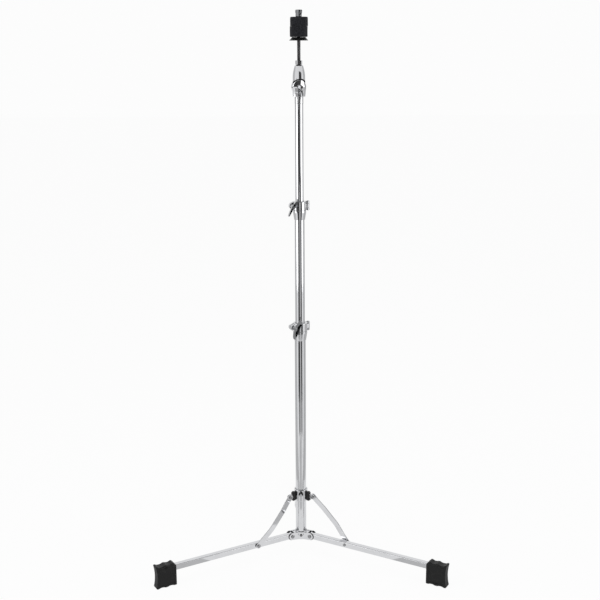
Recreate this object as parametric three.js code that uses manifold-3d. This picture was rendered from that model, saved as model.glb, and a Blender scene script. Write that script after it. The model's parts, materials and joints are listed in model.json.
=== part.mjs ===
// Straight cymbal stand on a level three-legged base, in millimetres, +Z up.
// The origin lies on the floor under the middle of the outline, so the mast stands a little in front of it.
// Each leg is drawn along +X and then turned about the mast to its own heading.
import * as THREE from "three";
import { mergeVertices } from "three/addons/utils/BufferGeometryUtils.js";
import Module from "manifold-3d";

const wasm = await Module();
wasm.setup();

// Clearances and cutting allowances
const gap = 0.3;
const slideGap = 0.38;
const overrun = 6;
const weld = 0.001;

// Facets round a full circle, by size of piece
const fineSides = 24;
const plainSides = 16;
const pinSides = 10;
const hexSides = 6;

// Headings in degrees
const legHeadings = { left: 210, right: 330, rear: 90 };
const lowerClampTurn = 26;
const upperClampTurn = 8;
const tilterTurn = 12;
const lowerWingLean = 66;
const upperWingLean = 60;
const tilterWingLean = 271;
const cymbalNutTurn = 100;
const collarKeyTurn = 45;

// Tubes
const lowerTubeDiameter = 25.4;
const middleTubeDiameter = 22.2;
const upperTubeDiameter = 19.05;
const tubeWall = 1.2;
const lowerTubeLength = 518;
const middleTubeLength = 480;
const upperTubeLength = 420;
const middleShown = 282.5;
const upperShown = 236.2;
const lowerTubeRadius = lowerTubeDiameter / 2;
const middleTubeRadius = middleTubeDiameter / 2;
const upperTubeRadius = upperTubeDiameter / 2;

// Legs: inverted steel channels, each with a rubber foot
const legAxisHeight = 42;
const legWidth = 12.7;
const legHeight = 12.7;
const legWall = 1.6;
const legEdge = 1.4;
const legPivotReach = 28.6;
const footReach = 383;
const footLength = 50;
const footWidth = 19;
const footHeight = 56;
const footSocketDepth = 37;

// Hub
const hubBottomHeight = 31;
const hubRadius = 15;
const hubHeight = 19.5;
const hubFloor = 3;
const hubEdge = 1.5;
const earThickness = 2.6;
const earGap = 0.5;
const earRadius = 8.8;
const earBite = 0.5;
const earTopDrop = 1;
const legPinRadius = 3;
const legPinHeadRadius = 4.6;
const legPinHead = 1.6;
const hubScrewRadius = 2.4;
const hubScrewHeadRadius = 3.4;
const hubScrewHead = 1.8;
const hubWebGap = 0.9;
const hubWebInset = 0.7;

// Brace collar, with an ear for each strut
const collarBottomHeight = 130;
const collarHeight = 29;
const collarWall = 2.9;
const collarEdge = 1.2;
const strutPivotReach = 31.5;
const strutPivotHeight = 143;
const collarEarThickness = 3;
const collarEarRadius = 6;
const strutPinRadius = 2.6;
const strutPinHeadRadius = 4.4;
const strutPinHead = 1.5;
const bumperLength = 8.6;
const bumperWidth = 9.2;
const bumperHeight = 22;
const keyScrewHeight = 150.5;
const keyScrewRadius = 3;
const keyScrewBossRadius = 4.8;
const keyScrewBoss = 2.2;
const keyScrewNeck = 2;
const keyScrewKey = 6;
const keyScrewKeyLength = 5.5;

// Struts: flat straps with two bends
const strutLowReach = 122;
const strutWidth = 12.6;
const strutThickness = 2.5;
const strutTopSide = 4.6;
const strutBendSide = 10.5;
const strutElbowSide = 15;
const strutFlatTop = 9;
const strutFlatLow = 12;
const strutBendShare = 0.27;
const strutElbowShare = 0.635;
const washerRadius = 6;
const washerThickness = 1.5;
const rivetRadius = 3;
const rivetHeadRadius = 4.4;
const rivetHead = 1.6;
const rivetTailRadius = 3.6;
const rivetTail = 1.2;

// Tube clamps: a casting on the outer tube, with a hinged gate that grips the inner one
const clampWall = 3.8;
const clampSkirt = 22;
const clampSkirtWall = 0.7;
const clampGrip = 20;
const clampEdge = 1.5;
const clampLip = 2;
const clampSplit = 1.2;
const clampShoulder = 5;
const gateFootGap = 0.6;
const clampEarThickness = 6;
const clampEarEndRadius = 7;
const clampEarHeight = 19;
const clampEarArcShare = 0.4;
const clampBoltClearance = 3.4;
const clampFaceRadius = 6.2;
const clampHingeOut = 4;
const clampHingeRadius = 4;
const clampPinRadius = 1.8;
const clampPinHeadRadius = 2.6;
const clampPinHead = 1;
const clampNutAcross = 10;
const clampNutThickness = 4;
const nutEdge = 0.3;

// Wing bolts
const wingBoltRadius = 3;
const wingHubRadius = 5;
const wingHubNeckRadius = 3.9;
const wingHubLength = 22;
const wingHubShoulder = 5;
const wingHubEdge = 0.9;
const wingStart = 6;
const wingDepth = 21;
const wingSpan = 46;
const wingThickness = 4;
const wingEdgeThickness = 2.6;

// Tilter
const tilterDiscRadius = 15;
const tilterDiscThickness = 9;
const tilterCheekRadius = 16.3;
const tilterCheekThickness = 8.6;
const tilterCheekGap = 0.45;
const tilterRecessGap = 1.1;
const tilterArcGap = 2.9;
const tilterCupRadius = 16;
const tilterCupFootRadius = 14;
const tilterCupDrop = 2;
const tilterCupHeight = 19;
const tilterCupEdge = 1;
const tilterNeckRadius = 9.9;
const tilterNeckLength = 15;
const tilterPlugLength = 22;
const bellRadius = 14;
const bellFoot = 5;
const bellShoulder = 24;
const bellWaistRadius = 12.9;
const bellWaist = 33;
const bellTopRadius = 9.4;
const bellTop = 47.4;
const bellEdge = 1.7;
const bellRodDepth = 25;
const tilterLeverSpan = 41;
const tilterNutFaceRadius = 8.1;
const tilterNutAcross = 13;
const tilterNutThickness = 5;

// Cymbal rod and what it carries
const rodRadius = 4;
const rodEdge = 0.9;
const lockNutAcross = 14;
const lockNutHeight = 9;
const lockNutEdge = 1;
const seatRise = 98.7;
const seatHeight = 7.2;
const seatRimRadius = 20.4;
const seatTopRadius = 14.8;
const seatRim = 0.8;
const sleeveWall = 1.7;
const sleeveShort = 2.6;
const feltRadius = 19.5;
const feltEdge = 2.6;
const feltSoftShare = 0.3;
const lowerFeltHeight = 22.7;
const upperFeltHeight = 19.4;
const feltLooseness = 1;
const upperFeltShift = feltLooseness - gap;
const cymbalNutRadius = 6.8;
const cymbalNutHeight = 14.6;
const cymbalNutEdge = 1.2;
const cymbalNutWingSpan = 36;
const cymbalNutWingRise = 2.5;
const rodTopInset = 2.4;

// Heights worked out from the sizes above
const lowerTubeFoot = hubBottomHeight + hubFloor + gap;
const lowerTubeTop = lowerTubeFoot + lowerTubeLength;
const middleTubeTop = lowerTubeTop + middleShown;
const upperTubeTop = middleTubeTop + upperShown;
const tilterNeckFoot = tilterCupDrop + tilterCupHeight + tilterNeckLength;
const tilterHeight = upperTubeTop + gap + tilterNeckFoot;
const seatTop = seatRise + seatHeight;
const lowerFeltFoot = seatTop + gap;
const upperFeltFoot = lowerFeltFoot + lowerFeltHeight + gap;
const cymbalNutFoot = upperFeltFoot + upperFeltHeight + gap;

// The feet's outer corners decide where the mast stands, with half of the depth on each side of the origin.
const footDepths = Object.values(legHeadings).flatMap(footCornerDepths);
const mastSetback = -(Math.max(...footDepths) + Math.min(...footDepths)) / 2;

function footCornerDepths(heading) {
  const middle = footReach * Math.sin(radians(heading));
  const side = (footWidth / 2) * Math.cos(radians(heading));
  return [middle - side, middle + side];
}

function radians(degrees) {
  return THREE.MathUtils.degToRad(degrees);
}

// Solids

function solidOf(geometry) {
  const bare = geometry.index ? geometry.toNonIndexed() : geometry.clone();
  bare.deleteAttribute("normal");
  bare.deleteAttribute("uv");
  const merged = mergeVertices(bare, weld);
  const corners = [];
  for (let i = 0; i < merged.index.count; i += 3) {
    const face = [0, 1, 2].map((step) => merged.index.getX(i + step));
    if (new Set(face).size === 3) corners.push(...face);
  }
  return new wasm.Manifold(
    new wasm.Mesh({
      numProp: 3,
      vertProperties: merged.attributes.position.array,
      triVerts: new Uint32Array(corners),
    }),
  );
}

function geometryOf(solid) {
  const mesh = solid.getMesh();
  const geometry = new THREE.BufferGeometry();
  geometry.setAttribute("position", new THREE.BufferAttribute(new Float32Array(mesh.vertProperties), 3));
  geometry.setIndex(new THREE.BufferAttribute(new Uint32Array(mesh.triVerts), 1));
  return geometry;
}

function join(...pieces) {
  return geometryOf(pieces.map(solidOf).reduce((whole, piece) => whole.add(piece)));
}

function cut(body, ...tools) {
  return geometryOf(tools.map(solidOf).reduce((whole, tool) => whole.subtract(tool), solidOf(body)));
}

function common(first, second) {
  return geometryOf(solidOf(first).intersect(solidOf(second)));
}

// A turned shape about Z. The profile is a list of [radius, height], run so that the solid lies on its left.
function turned(profile, sides = plainSides) {
  const points = profile.map(([radius, height]) => new THREE.Vector2(radius, height));
  const onAxis = points[0].x === 0 && points[points.length - 1].x === 0;
  if (!onAxis) points.push(points[0].clone());
  return new THREE.LatheGeometry(points, sides).rotateX(Math.PI / 2);
}

function ring(innerRadius, outerRadius, low, high, sides = plainSides) {
  return turned([[innerRadius, low], [outerRadius, low], [outerRadius, high], [innerRadius, high]], sides);
}

function rod(radius, low, high, sides = plainSides) {
  return turned([[0, low], [radius, low], [radius, high], [0, high]], sides);
}

function rodAlongY(radius, low, high, sides = plainSides) {
  return rod(radius, -high, -low, sides).rotateX(Math.PI / 2);
}

function block(lowX, highX, lowY, highY, lowZ, highZ) {
  const box = new THREE.BoxGeometry(highX - lowX, highY - lowY, highZ - lowZ);
  return box.translate((lowX + highX) / 2, (lowY + highY) / 2, (lowZ + highZ) / 2);
}

function prism(shape, depth, curveSegments = 5) {
  return new THREE.ExtrudeGeometry(shape, { depth, bevelEnabled: false, curveSegments });
}

// A plate whose outline is drawn in X and Z, between two places along Y.
function plateAlongY(shape, lowY, highY, curveSegments) {
  return prism(shape, highY - lowY, curveSegments).rotateX(Math.PI / 2).translate(0, highY, 0);
}

// A bar whose section is drawn in Y and Z, between two places along X.
function barAlongX(shape, lowX, highX) {
  const basis = new THREE.Matrix4().makeBasis(
    new THREE.Vector3(0, 1, 0),
    new THREE.Vector3(0, 0, 1),
    new THREE.Vector3(1, 0, 0),
  );
  return prism(shape, highX - lowX).applyMatrix4(basis).translate(lowX, 0, 0);
}

function outline(points) {
  return new THREE.Shape(points.map(([x, y]) => new THREE.Vector2(x, y)));
}

// An ear: straight from its root, with a round end about its hole.
function earShape(rootX, rootLow, rootHigh, centreX, centreZ, endRadius) {
  const shape = new THREE.Shape();
  shape.moveTo(rootX, rootLow);
  shape.lineTo(centreX, centreZ - endRadius);
  shape.absarc(centreX, centreZ, endRadius, -Math.PI / 2, Math.PI / 2, false);
  shape.lineTo(rootX, rootHigh);
  return shape;
}

function slotShape(lowX, highX, radius) {
  const shape = new THREE.Shape();
  shape.absarc(highX, 0, radius, -Math.PI / 2, Math.PI / 2, false);
  shape.absarc(lowX, 0, radius, Math.PI / 2, (Math.PI * 3) / 2, false);
  return shape;
}

function hexNut(across, low, high, edge, holeRadius) {
  const cornerRadius = across / Math.sqrt(3);
  const hex = rod(cornerRadius, low, high, hexSides);
  const round = turned([
    [0, low], [across / 2, low], [cornerRadius, low + edge],
    [cornerRadius, high - edge], [across / 2, high], [0, high],
  ], hexSides * 2);
  return cut(common(hex, round), rod(holeRadius, low - overrun, high + overrun, pinSides));
}

// Tubes, hub and legs

function tube(radius, length) {
  return ring(radius - tubeWall, radius, 0, length, fineSides);
}

const legSide = legWidth / 2;
const legHalfHeight = legHeight / 2;
const earInner = legSide + earGap;
const earOuter = earInner + earThickness;
const legPivotAboveHub = legAxisHeight - hubBottomHeight;

function legHub() {
  const bore = lowerTubeRadius + gap;
  const ringBody = turned([
    [0, 0], [hubRadius, 0], [hubRadius, hubHeight - hubEdge], [hubRadius - hubEdge, hubHeight],
    [bore, hubHeight], [bore, hubFloor], [0, hubFloor],
  ], fineSides);
  const root = Math.sqrt(hubRadius ** 2 - earOuter ** 2) - earBite;
  const ear = earShape(root, 0, hubHeight - earTopDrop, legPivotReach, legPivotAboveHub, earRadius);
  const webEnd = legPivotReach - legHeight / 2 - hubWebGap;
  const webSide = earInner + earThickness / 2;
  const webTop = hubHeight - earTopDrop - hubWebInset;
  const ears = [];
  const holes = [];
  for (const heading of Object.values(legHeadings)) {
    const turn = radians(heading);
    ears.push(block(hubRadius - hubEdge, webEnd, -webSide, webSide, hubWebInset, webTop).rotateZ(turn));
    ears.push(plateAlongY(ear, earInner, earOuter).rotateZ(turn));
    ears.push(plateAlongY(ear, -earOuter, -earInner).rotateZ(turn));
    const hole = rodAlongY(legPinRadius + gap, -earOuter - overrun, earOuter + overrun, pinSides);
    holes.push(hole.translate(legPivotReach, 0, legPivotAboveHub).rotateZ(turn));
  }
  const screwHole = rodAlongY(hubScrewRadius + gap, -hubRadius - overrun, 0, pinSides);
  return cut(join(ringBody, ...ears), ...holes, screwHole.translate(0, 0, legPivotAboveHub));
}

function hubScrew() {
  const seat = hubRadius + gap;
  const shank = rodAlongY(hubScrewRadius, -seat - hubScrewHead / 2, -lowerTubeRadius - gap, pinSides);
  const head = rodAlongY(hubScrewHeadRadius, -seat - hubScrewHead, -seat, pinSides);
  return join(shank, head);
}

function legPin() {
  const seat = earOuter + gap;
  const end = seat + legPinHead;
  const shaft = rodAlongY(legPinRadius, -end + legPinHead / 2, end - legPinHead / 2, pinSides);
  const heads = [
    rodAlongY(legPinHeadRadius, seat, end, pinSides),
    rodAlongY(legPinHeadRadius, -end, -seat, pinSides),
  ];
  return join(shaft, ...heads);
}

// Drawn from its pivot: X along the leg, with the round end about the pivot.
function leg() {
  const length = footReach - footLength + footSocketDepth - legPivotReach;
  const inner = legSide - legWall;
  const section = outline([
    [-legSide, -legHalfHeight], [-inner, -legHalfHeight], [-inner, legHalfHeight - legWall],
    [inner, legHalfHeight - legWall], [inner, -legHalfHeight], [legSide, -legHalfHeight],
    [legSide, legHalfHeight - legEdge], [legSide - legEdge, legHalfHeight],
    [-legSide + legEdge, legHalfHeight], [-legSide, legHalfHeight - legEdge],
  ]);
  const channel = barAlongX(section, -legHalfHeight, length);
  const side = plateAlongY(slotShape(0, length + overrun, legHalfHeight), -legWidth, legWidth);
  const pinHole = rodAlongY(legPinRadius + gap, -legWidth, legWidth, pinSides);
  const rivetHole = rodAlongY(rivetRadius + gap, -legWidth, 0, pinSides);
  return cut(common(channel, side), pinHole, rivetHole.translate(strutLowReach - legPivotReach, 0, 0));
}

// The strut's rivet shows its closed end on the far side of the leg.
function rivetTailPiece() {
  const seat = legSide + gap;
  const shank = rodAlongY(rivetRadius, -seat - rivetTail / 2, legSide - legWall - gap, pinSides);
  const head = rodAlongY(rivetTailRadius, -seat - rivetTail, -seat, pinSides);
  return join(shank, head);
}

// Side view of a foot as shares of its length and height, from the inner lower tip round to the inner end.
const footShares = [
  [0.02, 0], [0.13, 0], [0.2, 0.025], [0.31, 0.035], [0.39, 0.02], [0.44, 0], [0.56, 0], [0.61, 0.02],
  [0.7, 0.035], [0.8, 0.03], [0.88, 0], [0.96, 0], [1, 0.04], [0.965, 0.16], [0.94, 0.33], [0.93, 0.5],
  [0.94, 0.67], [0.965, 0.84], [1, 0.965], [0.97, 0.99], [0.92, 0.99], [0.85, 0.95], [0.7, 0.94],
  [0.62, 0.955], [0.56, 0.985], [0.48, 0.985], [0.42, 0.96], [0.3, 0.95], [0.24, 0.975], [0.17, 1],
  [0.12, 0.985], [0, 0.87], [0, 0.03],
];

function foot() {
  const shape = outline(footShares.map(([along, up]) => [along * footLength, up * footHeight]));
  const body = plateAlongY(shape, -footWidth / 2, footWidth / 2);
  const socket = block(
    -overrun, footSocketDepth + gap, -legSide - gap, legSide + gap,
    legAxisHeight - legHalfHeight - gap, legAxisHeight + legHalfHeight + gap,
  );
  return cut(body, socket);
}

// Brace collar and struts

const collarRadius = lowerTubeRadius + slideGap + collarWall;
const strutPivotAboveCollar = strutPivotHeight - collarBottomHeight;

function braceCollar() {
  const bore = lowerTubeRadius + slideGap;
  const body = turned([
    [bore, 0], [collarRadius - collarEdge, 0], [collarRadius, collarEdge],
    [collarRadius, collarHeight - collarEdge], [collarRadius - collarEdge, collarHeight],
    [bore, collarHeight],
  ], fineSides);
  const ear = earShape(
    collarRadius - collarWall / 2, strutPivotAboveCollar - collarEarRadius,
    strutPivotAboveCollar + collarEarRadius, strutPivotReach, strutPivotAboveCollar, collarEarRadius,
  );
  const ears = [];
  const holes = [];
  for (const heading of Object.values(legHeadings)) {
    const turn = radians(heading);
    ears.push(plateAlongY(ear, -collarEarThickness / 2, collarEarThickness / 2).rotateZ(turn));
    const hole = rodAlongY(strutPinRadius + gap, -collarEarThickness, collarEarThickness, pinSides);
    holes.push(hole.translate(strutPivotReach, 0, strutPivotAboveCollar).rotateZ(turn));
  }
  const screwLevel = keyScrewHeight - collarBottomHeight;
  const bossFace = -collarRadius - keyScrewBoss;
  const boss = rodAlongY(keyScrewBossRadius, bossFace, -collarRadius + collarWall / 2, pinSides);
  const screwHole = rodAlongY(keyScrewRadius + gap, -collarRadius - overrun, 0, pinSides);
  return cut(
    join(body, ...ears, boss.translate(0, 0, screwLevel)),
    ...holes,
    screwHole.translate(0, 0, screwLevel),
  );
}

// A nylon bumper boxes in the root of each collar ear.
function bumper() {
  const start = collarRadius + gap;
  const side = bumperWidth / 2;
  const rise = bumperHeight / 2;
  const body = block(start, start + bumperLength, -side, side, -rise, rise);
  const slotSide = collarEarThickness / 2 + gap;
  const slotRise = collarEarRadius + gap;
  const slot = block(
    start - overrun, start + bumperLength + overrun, -slotSide, slotSide, -slotRise, slotRise,
  );
  return cut(body, slot);
}

function keyScrew() {
  const seat = collarRadius + keyScrewBoss + gap;
  const neckEnd = seat + keyScrewNeck;
  const shank = rodAlongY(keyScrewRadius, -neckEnd, -lowerTubeRadius - gap, pinSides);
  const half = keyScrewKey / 2;
  const key = block(-half, half, -neckEnd - keyScrewKeyLength, -neckEnd + keyScrewNeck / 2, -half, half);
  return join(shank, key.rotateY(radians(collarKeyTurn)));
}

const strutRun = strutLowReach - strutPivotReach;
const strutDrop = strutPivotHeight - legAxisHeight;
const strutLength = Math.hypot(strutRun, strutDrop);
const strutSlope = Math.atan2(strutDrop, strutRun);
const washerFace = legSide + gap;
const strutLowFace = washerFace + washerThickness + gap;
const strutLowSide = strutLowFace + strutThickness / 2;
const strutTopInner = strutTopSide - strutThickness / 2;

// Drawn from its top pivot with X along the strap. The strap's bends are drawn from above, as a band.
function strut() {
  const half = strutThickness / 2;
  const reach = strutWidth;
  const bends = [
    [-reach, strutTopSide], [strutFlatTop, strutTopSide],
    [strutLength * strutBendShare, strutBendSide], [strutLength * strutElbowShare, strutElbowSide],
    [strutLength - strutFlatLow, strutLowSide], [strutLength + reach, strutLowSide],
  ];
  const outer = bends.map(([along, side]) => [along, side + half]);
  const inner = bends.map(([along, side]) => [along, side - half]);
  const band = prism(outline([...inner, ...outer.reverse()]), reach * 2).translate(0, 0, -reach);
  const side = strutElbowSide + reach;
  const face = plateAlongY(slotShape(0, strutLength, strutWidth / 2), -reach, side);
  const topHole = rodAlongY(strutPinRadius + gap, -reach, side, pinSides);
  const lowHole = rodAlongY(rivetRadius + gap, -reach, side, pinSides);
  return cut(common(band, face), topHole, lowHole.translate(strutLength, 0, 0));
}

// The pin's shoulder keeps the strap off the collar's ear.
function strutPin() {
  const earSide = collarEarThickness / 2 + gap;
  const strapOuter = strutTopSide + strutThickness / 2 + gap;
  const halfHead = strutPinHead / 2;
  const shaft = rodAlongY(strutPinRadius, -earSide - halfHead, strapOuter + halfHead, pinSides);
  const shoulder = rodAlongY(strutPinHeadRadius, earSide, strutTopInner - gap, pinSides);
  const head = rodAlongY(strutPinHeadRadius, strapOuter, strapOuter + strutPinHead, pinSides);
  const tail = rodAlongY(strutPinHeadRadius, -earSide - strutPinHead, -earSide, pinSides);
  return join(shaft, shoulder, head, tail);
}

function strutRivet() {
  const seat = strutLowFace + strutThickness + gap;
  const shank = rodAlongY(rivetRadius, washerFace, seat + rivetHead / 2, pinSides);
  const head = rodAlongY(rivetHeadRadius, seat, seat + rivetHead, pinSides);
  return join(shank, head);
}

function strutWasher() {
  const disc = rodAlongY(washerRadius, washerFace, washerFace + washerThickness);
  return cut(disc, rodAlongY(rivetRadius + gap, 0, washerFace + washerThickness + overrun, pinSides));
}

// Tube clamps. Each is drawn from the top of its outer tube, with the bolt ear on -X and the gate in front.

function clampSizes(outerRadius, innerRadius) {
  const radius = outerRadius + clampWall;
  const boltReach = outerRadius + wingBoltRadius + clampBoltClearance;
  return {
    bore: outerRadius + gap,
    radius,
    footRadius: outerRadius + gap + clampSkirtWall,
    lipRadius: innerRadius + slideGap + gap,
    sleeveInner: innerRadius + slideGap,
    boltReach,
    hingeReach: radius + clampHingeOut,
    middle: clampGrip / 2,
  };
}

function clampEar(sizes, lowY, highY) {
  const half = clampEarHeight / 2;
  const root = -Math.sqrt(sizes.bore ** 2 - (clampSplit / 2) ** 2) - gap;
  const shape = new THREE.Shape();
  shape.moveTo(root, -half);
  shape.lineTo(root, half);
  shape.lineTo(-sizes.radius, half);
  const start = Math.PI * (1 - clampEarArcShare);
  shape.absarc(-sizes.boltReach, 0, clampEarEndRadius, start, Math.PI * 2 - start, false);
  shape.lineTo(-sizes.radius, -half);
  return plateAlongY(shape, lowY, highY).translate(0, 0, sizes.middle);
}

// A knuckle's web lies on the side of its own half: 1 for the casting behind, -1 for the gate in front.
function clampKnuckle(sizes, side, low, high) {
  const barrel = rod(clampHingeRadius, low, high, pinSides).translate(sizes.hingeReach, 0, 0);
  const ends = [(side * clampSplit) / 2, side * clampHingeRadius].sort((first, second) => first - second);
  const web = block(sizes.radius - clampWall / 2, sizes.hingeReach, ...ends, low, high);
  return join(barrel, web);
}

// A flat round the bolt for its nut or hub to sit on, cut from the ear's face outwards.
function clampFace(sizes, side) {
  const ends = [side * (clampSplit / 2 + clampEarThickness), side * (sizes.hingeReach + overrun)];
  const [low, high] = ends.sort((first, second) => first - second);
  return rodAlongY(clampFaceRadius, low, high).translate(-sizes.boltReach, 0, sizes.middle);
}

function clampBoltHole(sizes) {
  const reach = clampEarThickness + overrun;
  const hole = rodAlongY(wingBoltRadius + gap, -reach, reach, pinSides);
  return hole.translate(-sizes.boltReach, 0, sizes.middle);
}

function clampPinHole(sizes) {
  return rod(clampPinRadius + gap, -overrun, clampGrip + overrun, pinSides).translate(sizes.hingeReach, 0, 0);
}

// The gate's knuckle fills the middle half of the hinge, and the casting's two knuckles the rest.
const knuckleShare = 0.25;

function clampBody(sizes) {
  const shell = turned([
    [sizes.bore, -clampSkirt], [sizes.footRadius, -clampSkirt], [sizes.radius, -clampShoulder],
    [sizes.radius, clampGrip - clampEdge], [sizes.radius - clampEdge, clampGrip],
    [sizes.lipRadius, clampGrip], [sizes.lipRadius, clampGrip - clampLip], [sizes.bore, clampGrip - clampLip],
  ], fineSides);
  const reach = sizes.radius + overrun;
  const front = block(-reach, reach, -reach, clampSplit / 2, gap, clampGrip + overrun);
  const ear = clampEar(sizes, clampSplit / 2, clampSplit / 2 + clampEarThickness);
  const roomLow = clampGrip * knuckleShare - gap / 2;
  const roomHigh = clampGrip - roomLow;
  const lowKnuckle = clampKnuckle(sizes, 1, 0, roomLow);
  const highKnuckle = clampKnuckle(sizes, 1, roomHigh, clampGrip);
  const room = clampKnuckle(sizes, -1, roomLow, roomHigh);
  const whole = join(cut(shell, front, room), ear, lowKnuckle, highKnuckle);
  return cut(whole, clampFace(sizes, 1), clampBoltHole(sizes), clampPinHole(sizes));
}

function clampGate(sizes) {
  const shell = turned([
    [sizes.bore, gateFootGap], [sizes.radius, gateFootGap], [sizes.radius, clampGrip - clampEdge],
    [sizes.radius - clampEdge, clampGrip], [sizes.lipRadius, clampGrip],
    [sizes.lipRadius, clampGrip - clampLip], [sizes.bore, clampGrip - clampLip],
  ], fineSides);
  const reach = sizes.radius + overrun;
  const back = block(-reach, reach, -clampSplit / 2, reach, -overrun, clampGrip + overrun);
  const ear = clampEar(sizes, -clampSplit / 2 - clampEarThickness, -clampSplit / 2);
  const knuckleLow = clampGrip * knuckleShare + gap / 2;
  const knuckle = clampKnuckle(sizes, -1, knuckleLow, clampGrip - knuckleLow);
  const whole = join(cut(shell, back), ear, knuckle);
  return cut(whole, clampFace(sizes, -1), clampBoltHole(sizes), clampPinHole(sizes));
}

function clampPin(sizes) {
  const ends = [[-gap - clampPinHead, -gap], [clampGrip + gap, clampGrip + gap + clampPinHead]];
  const heads = ends.map(([low, high]) => rod(clampPinHeadRadius, low, high, pinSides));
  const shaft = rod(clampPinRadius, -gap - clampPinHead / 2, clampGrip + gap + clampPinHead / 2, pinSides);
  return join(shaft, ...heads).translate(sizes.hingeReach, 0, 0);
}

function clampNut(sizes) {
  const seat = clampSplit / 2 + clampEarThickness + gap;
  const nut = hexNut(clampNutAcross, -seat - clampNutThickness, -seat, nutEdge, wingBoltRadius + gap);
  return nut.rotateX(Math.PI / 2).translate(-sizes.boltReach, 0, sizes.middle);
}

// A nylon sleeve lines the clamp and turns with the inner tube.
function clampSleeve(sizes, outerRadius) {
  return ring(sizes.sleeveInner, outerRadius, gap, clampGrip - clampLip - gap, fineSides);
}

// Wing bolts, drawn along +Z from the face that the hub meets, with the wings spread along X.

// One wing, as shares of half the span and of the depth, from the hub's foot round to its top.
const wingShares = [
  [0, 0.14], [0.4, 0.08], [0.72, 0.22], [0.94, 0.47], [1, 0.74], [0.93, 0.96], [0.76, 0.98],
  [0.45, 0.7], [0.25, 0.6], [0, 0.58],
];

function wings(span, depth, thickness, edge) {
  const side = wingShares.map(([along, out]) => [(along * span) / 2, out * depth]);
  const mirror = side.slice(1, -1).reverse().map(([along, out]) => [-along, out]);
  const plate = prism(outline([...side, ...mirror]), thickness).translate(0, 0, -thickness / 2);
  const tip = edge / 2;
  const lens = outline([
    [-span / 2, -tip], [-wingHubRadius, -thickness / 2], [wingHubRadius, -thickness / 2], [span / 2, -tip],
    [span / 2, tip], [wingHubRadius, thickness / 2], [-wingHubRadius, thickness / 2], [-span / 2, tip],
  ]);
  const taper = prism(lens, depth + overrun * 2).translate(0, 0, -overrun);
  return common(plate.rotateX(Math.PI / 2), taper);
}

function wingBolt(shankLength, blades) {
  const hub = turned([
    [0, 0], [wingHubRadius, 0], [wingHubRadius, wingHubShoulder],
    [wingHubNeckRadius, wingHubLength - wingHubEdge], [wingHubNeckRadius - wingHubEdge, wingHubLength],
    [0, wingHubLength],
  ], pinSides);
  const shank = rod(wingBoltRadius, -shankLength, wingStart, pinSides);
  return join(hub, shank, blades.translate(0, 0, wingStart));
}

// The tilter's bolt has one blade, like a lever.
function lever(span) {
  const pair = wings(span, wingDepth, wingThickness, wingEdgeThickness);
  return common(pair, block(0, span, -span, span, -span, span));
}

// Tilter, drawn from its pivot, with the pivot along Y

function tilterBase() {
  const cupFoot = -tilterCupDrop - tilterCupHeight;
  const cup = turned([
    [0, cupFoot], [tilterCupFootRadius - tilterCupEdge, cupFoot],
    [tilterCupFootRadius, cupFoot + tilterCupEdge], [tilterCupRadius, -tilterCupDrop - tilterCupEdge],
    [tilterCupRadius - tilterCupEdge, -tilterCupDrop], [0, -tilterCupDrop],
  ], fineSides);
  const reach = tilterCupRadius + overrun;
  const front = block(-reach, reach, -reach, -tilterDiscThickness, cupFoot - overrun, overrun);
  const recess = rodAlongY(tilterCheekRadius + tilterRecessGap, 0, reach, fineSides);
  const plugRadius = upperTubeRadius - tubeWall - gap;
  const stem = turned([
    [0, -tilterNeckFoot - tilterPlugLength], [plugRadius, -tilterNeckFoot - tilterPlugLength],
    [plugRadius, -tilterNeckFoot], [tilterNeckRadius, -tilterNeckFoot],
    [tilterNeckRadius, cupFoot + tilterCupEdge], [0, cupFoot + tilterCupEdge],
  ], fineSides);
  const disc = rodAlongY(tilterDiscRadius, -tilterDiscThickness, 0, fineSides);
  const boltHole = rodAlongY(wingBoltRadius + gap, -reach, reach, pinSides);
  return cut(join(cut(cup, front), stem, disc), recess, boltHole);
}

function tilterHead() {
  const reach = bellRadius + overrun;
  const bell = turned([
    [0, bellFoot], [bellRadius, bellFoot], [bellRadius, bellShoulder], [bellWaistRadius, bellWaist],
    [bellTopRadius, bellTop - bellEdge], [bellTopRadius - bellEdge, bellTop], [0, bellTop],
  ], fineSides);
  const arc = rodAlongY(tilterDiscRadius + tilterArcGap, -reach, tilterCheekGap, fineSides);
  const cheek = rodAlongY(tilterCheekRadius, tilterCheekGap, tilterCheekThickness, fineSides);
  const rodHole = rod(rodRadius + gap, bellTop - bellRodDepth, bellTop + overrun, pinSides);
  const boltHole = rodAlongY(wingBoltRadius + gap, -reach, reach, pinSides);
  const nutFace = rodAlongY(tilterNutFaceRadius, tilterCheekThickness, reach);
  return cut(join(cut(bell, arc), cheek), rodHole, boltHole, nutFace);
}

function tilterNut() {
  const seat = tilterCheekThickness + gap;
  const nut = hexNut(tilterNutAcross, -seat - tilterNutThickness, -seat, nutEdge, wingBoltRadius + gap);
  return nut.rotateX(Math.PI / 2);
}

// Cymbal rod, seat, felts and nut, drawn from the tilter's pivot

function cymbalRod() {
  const top = cymbalNutFoot + cymbalNutHeight - rodTopInset;
  const foot = bellTop - bellRodDepth + gap;
  return turned([
    [0, foot], [rodRadius, foot], [rodRadius, top - rodEdge], [rodRadius - rodEdge, top], [0, top],
  ], pinSides);
}

function feltSeat() {
  const bore = rodRadius + gap;
  return turned([
    [bore, seatRise], [seatRimRadius, seatRise], [seatRimRadius, seatRise + seatRim],
    [seatTopRadius, seatTop], [bore, seatTop],
  ], fineSides);
}

function feltSleeve() {
  const bore = rodRadius + gap;
  return ring(bore, bore + sleeveWall, lowerFeltFoot, cymbalNutFoot - sleeveShort);
}

const feltBore = rodRadius + gap + sleeveWall + feltLooseness;

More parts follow.
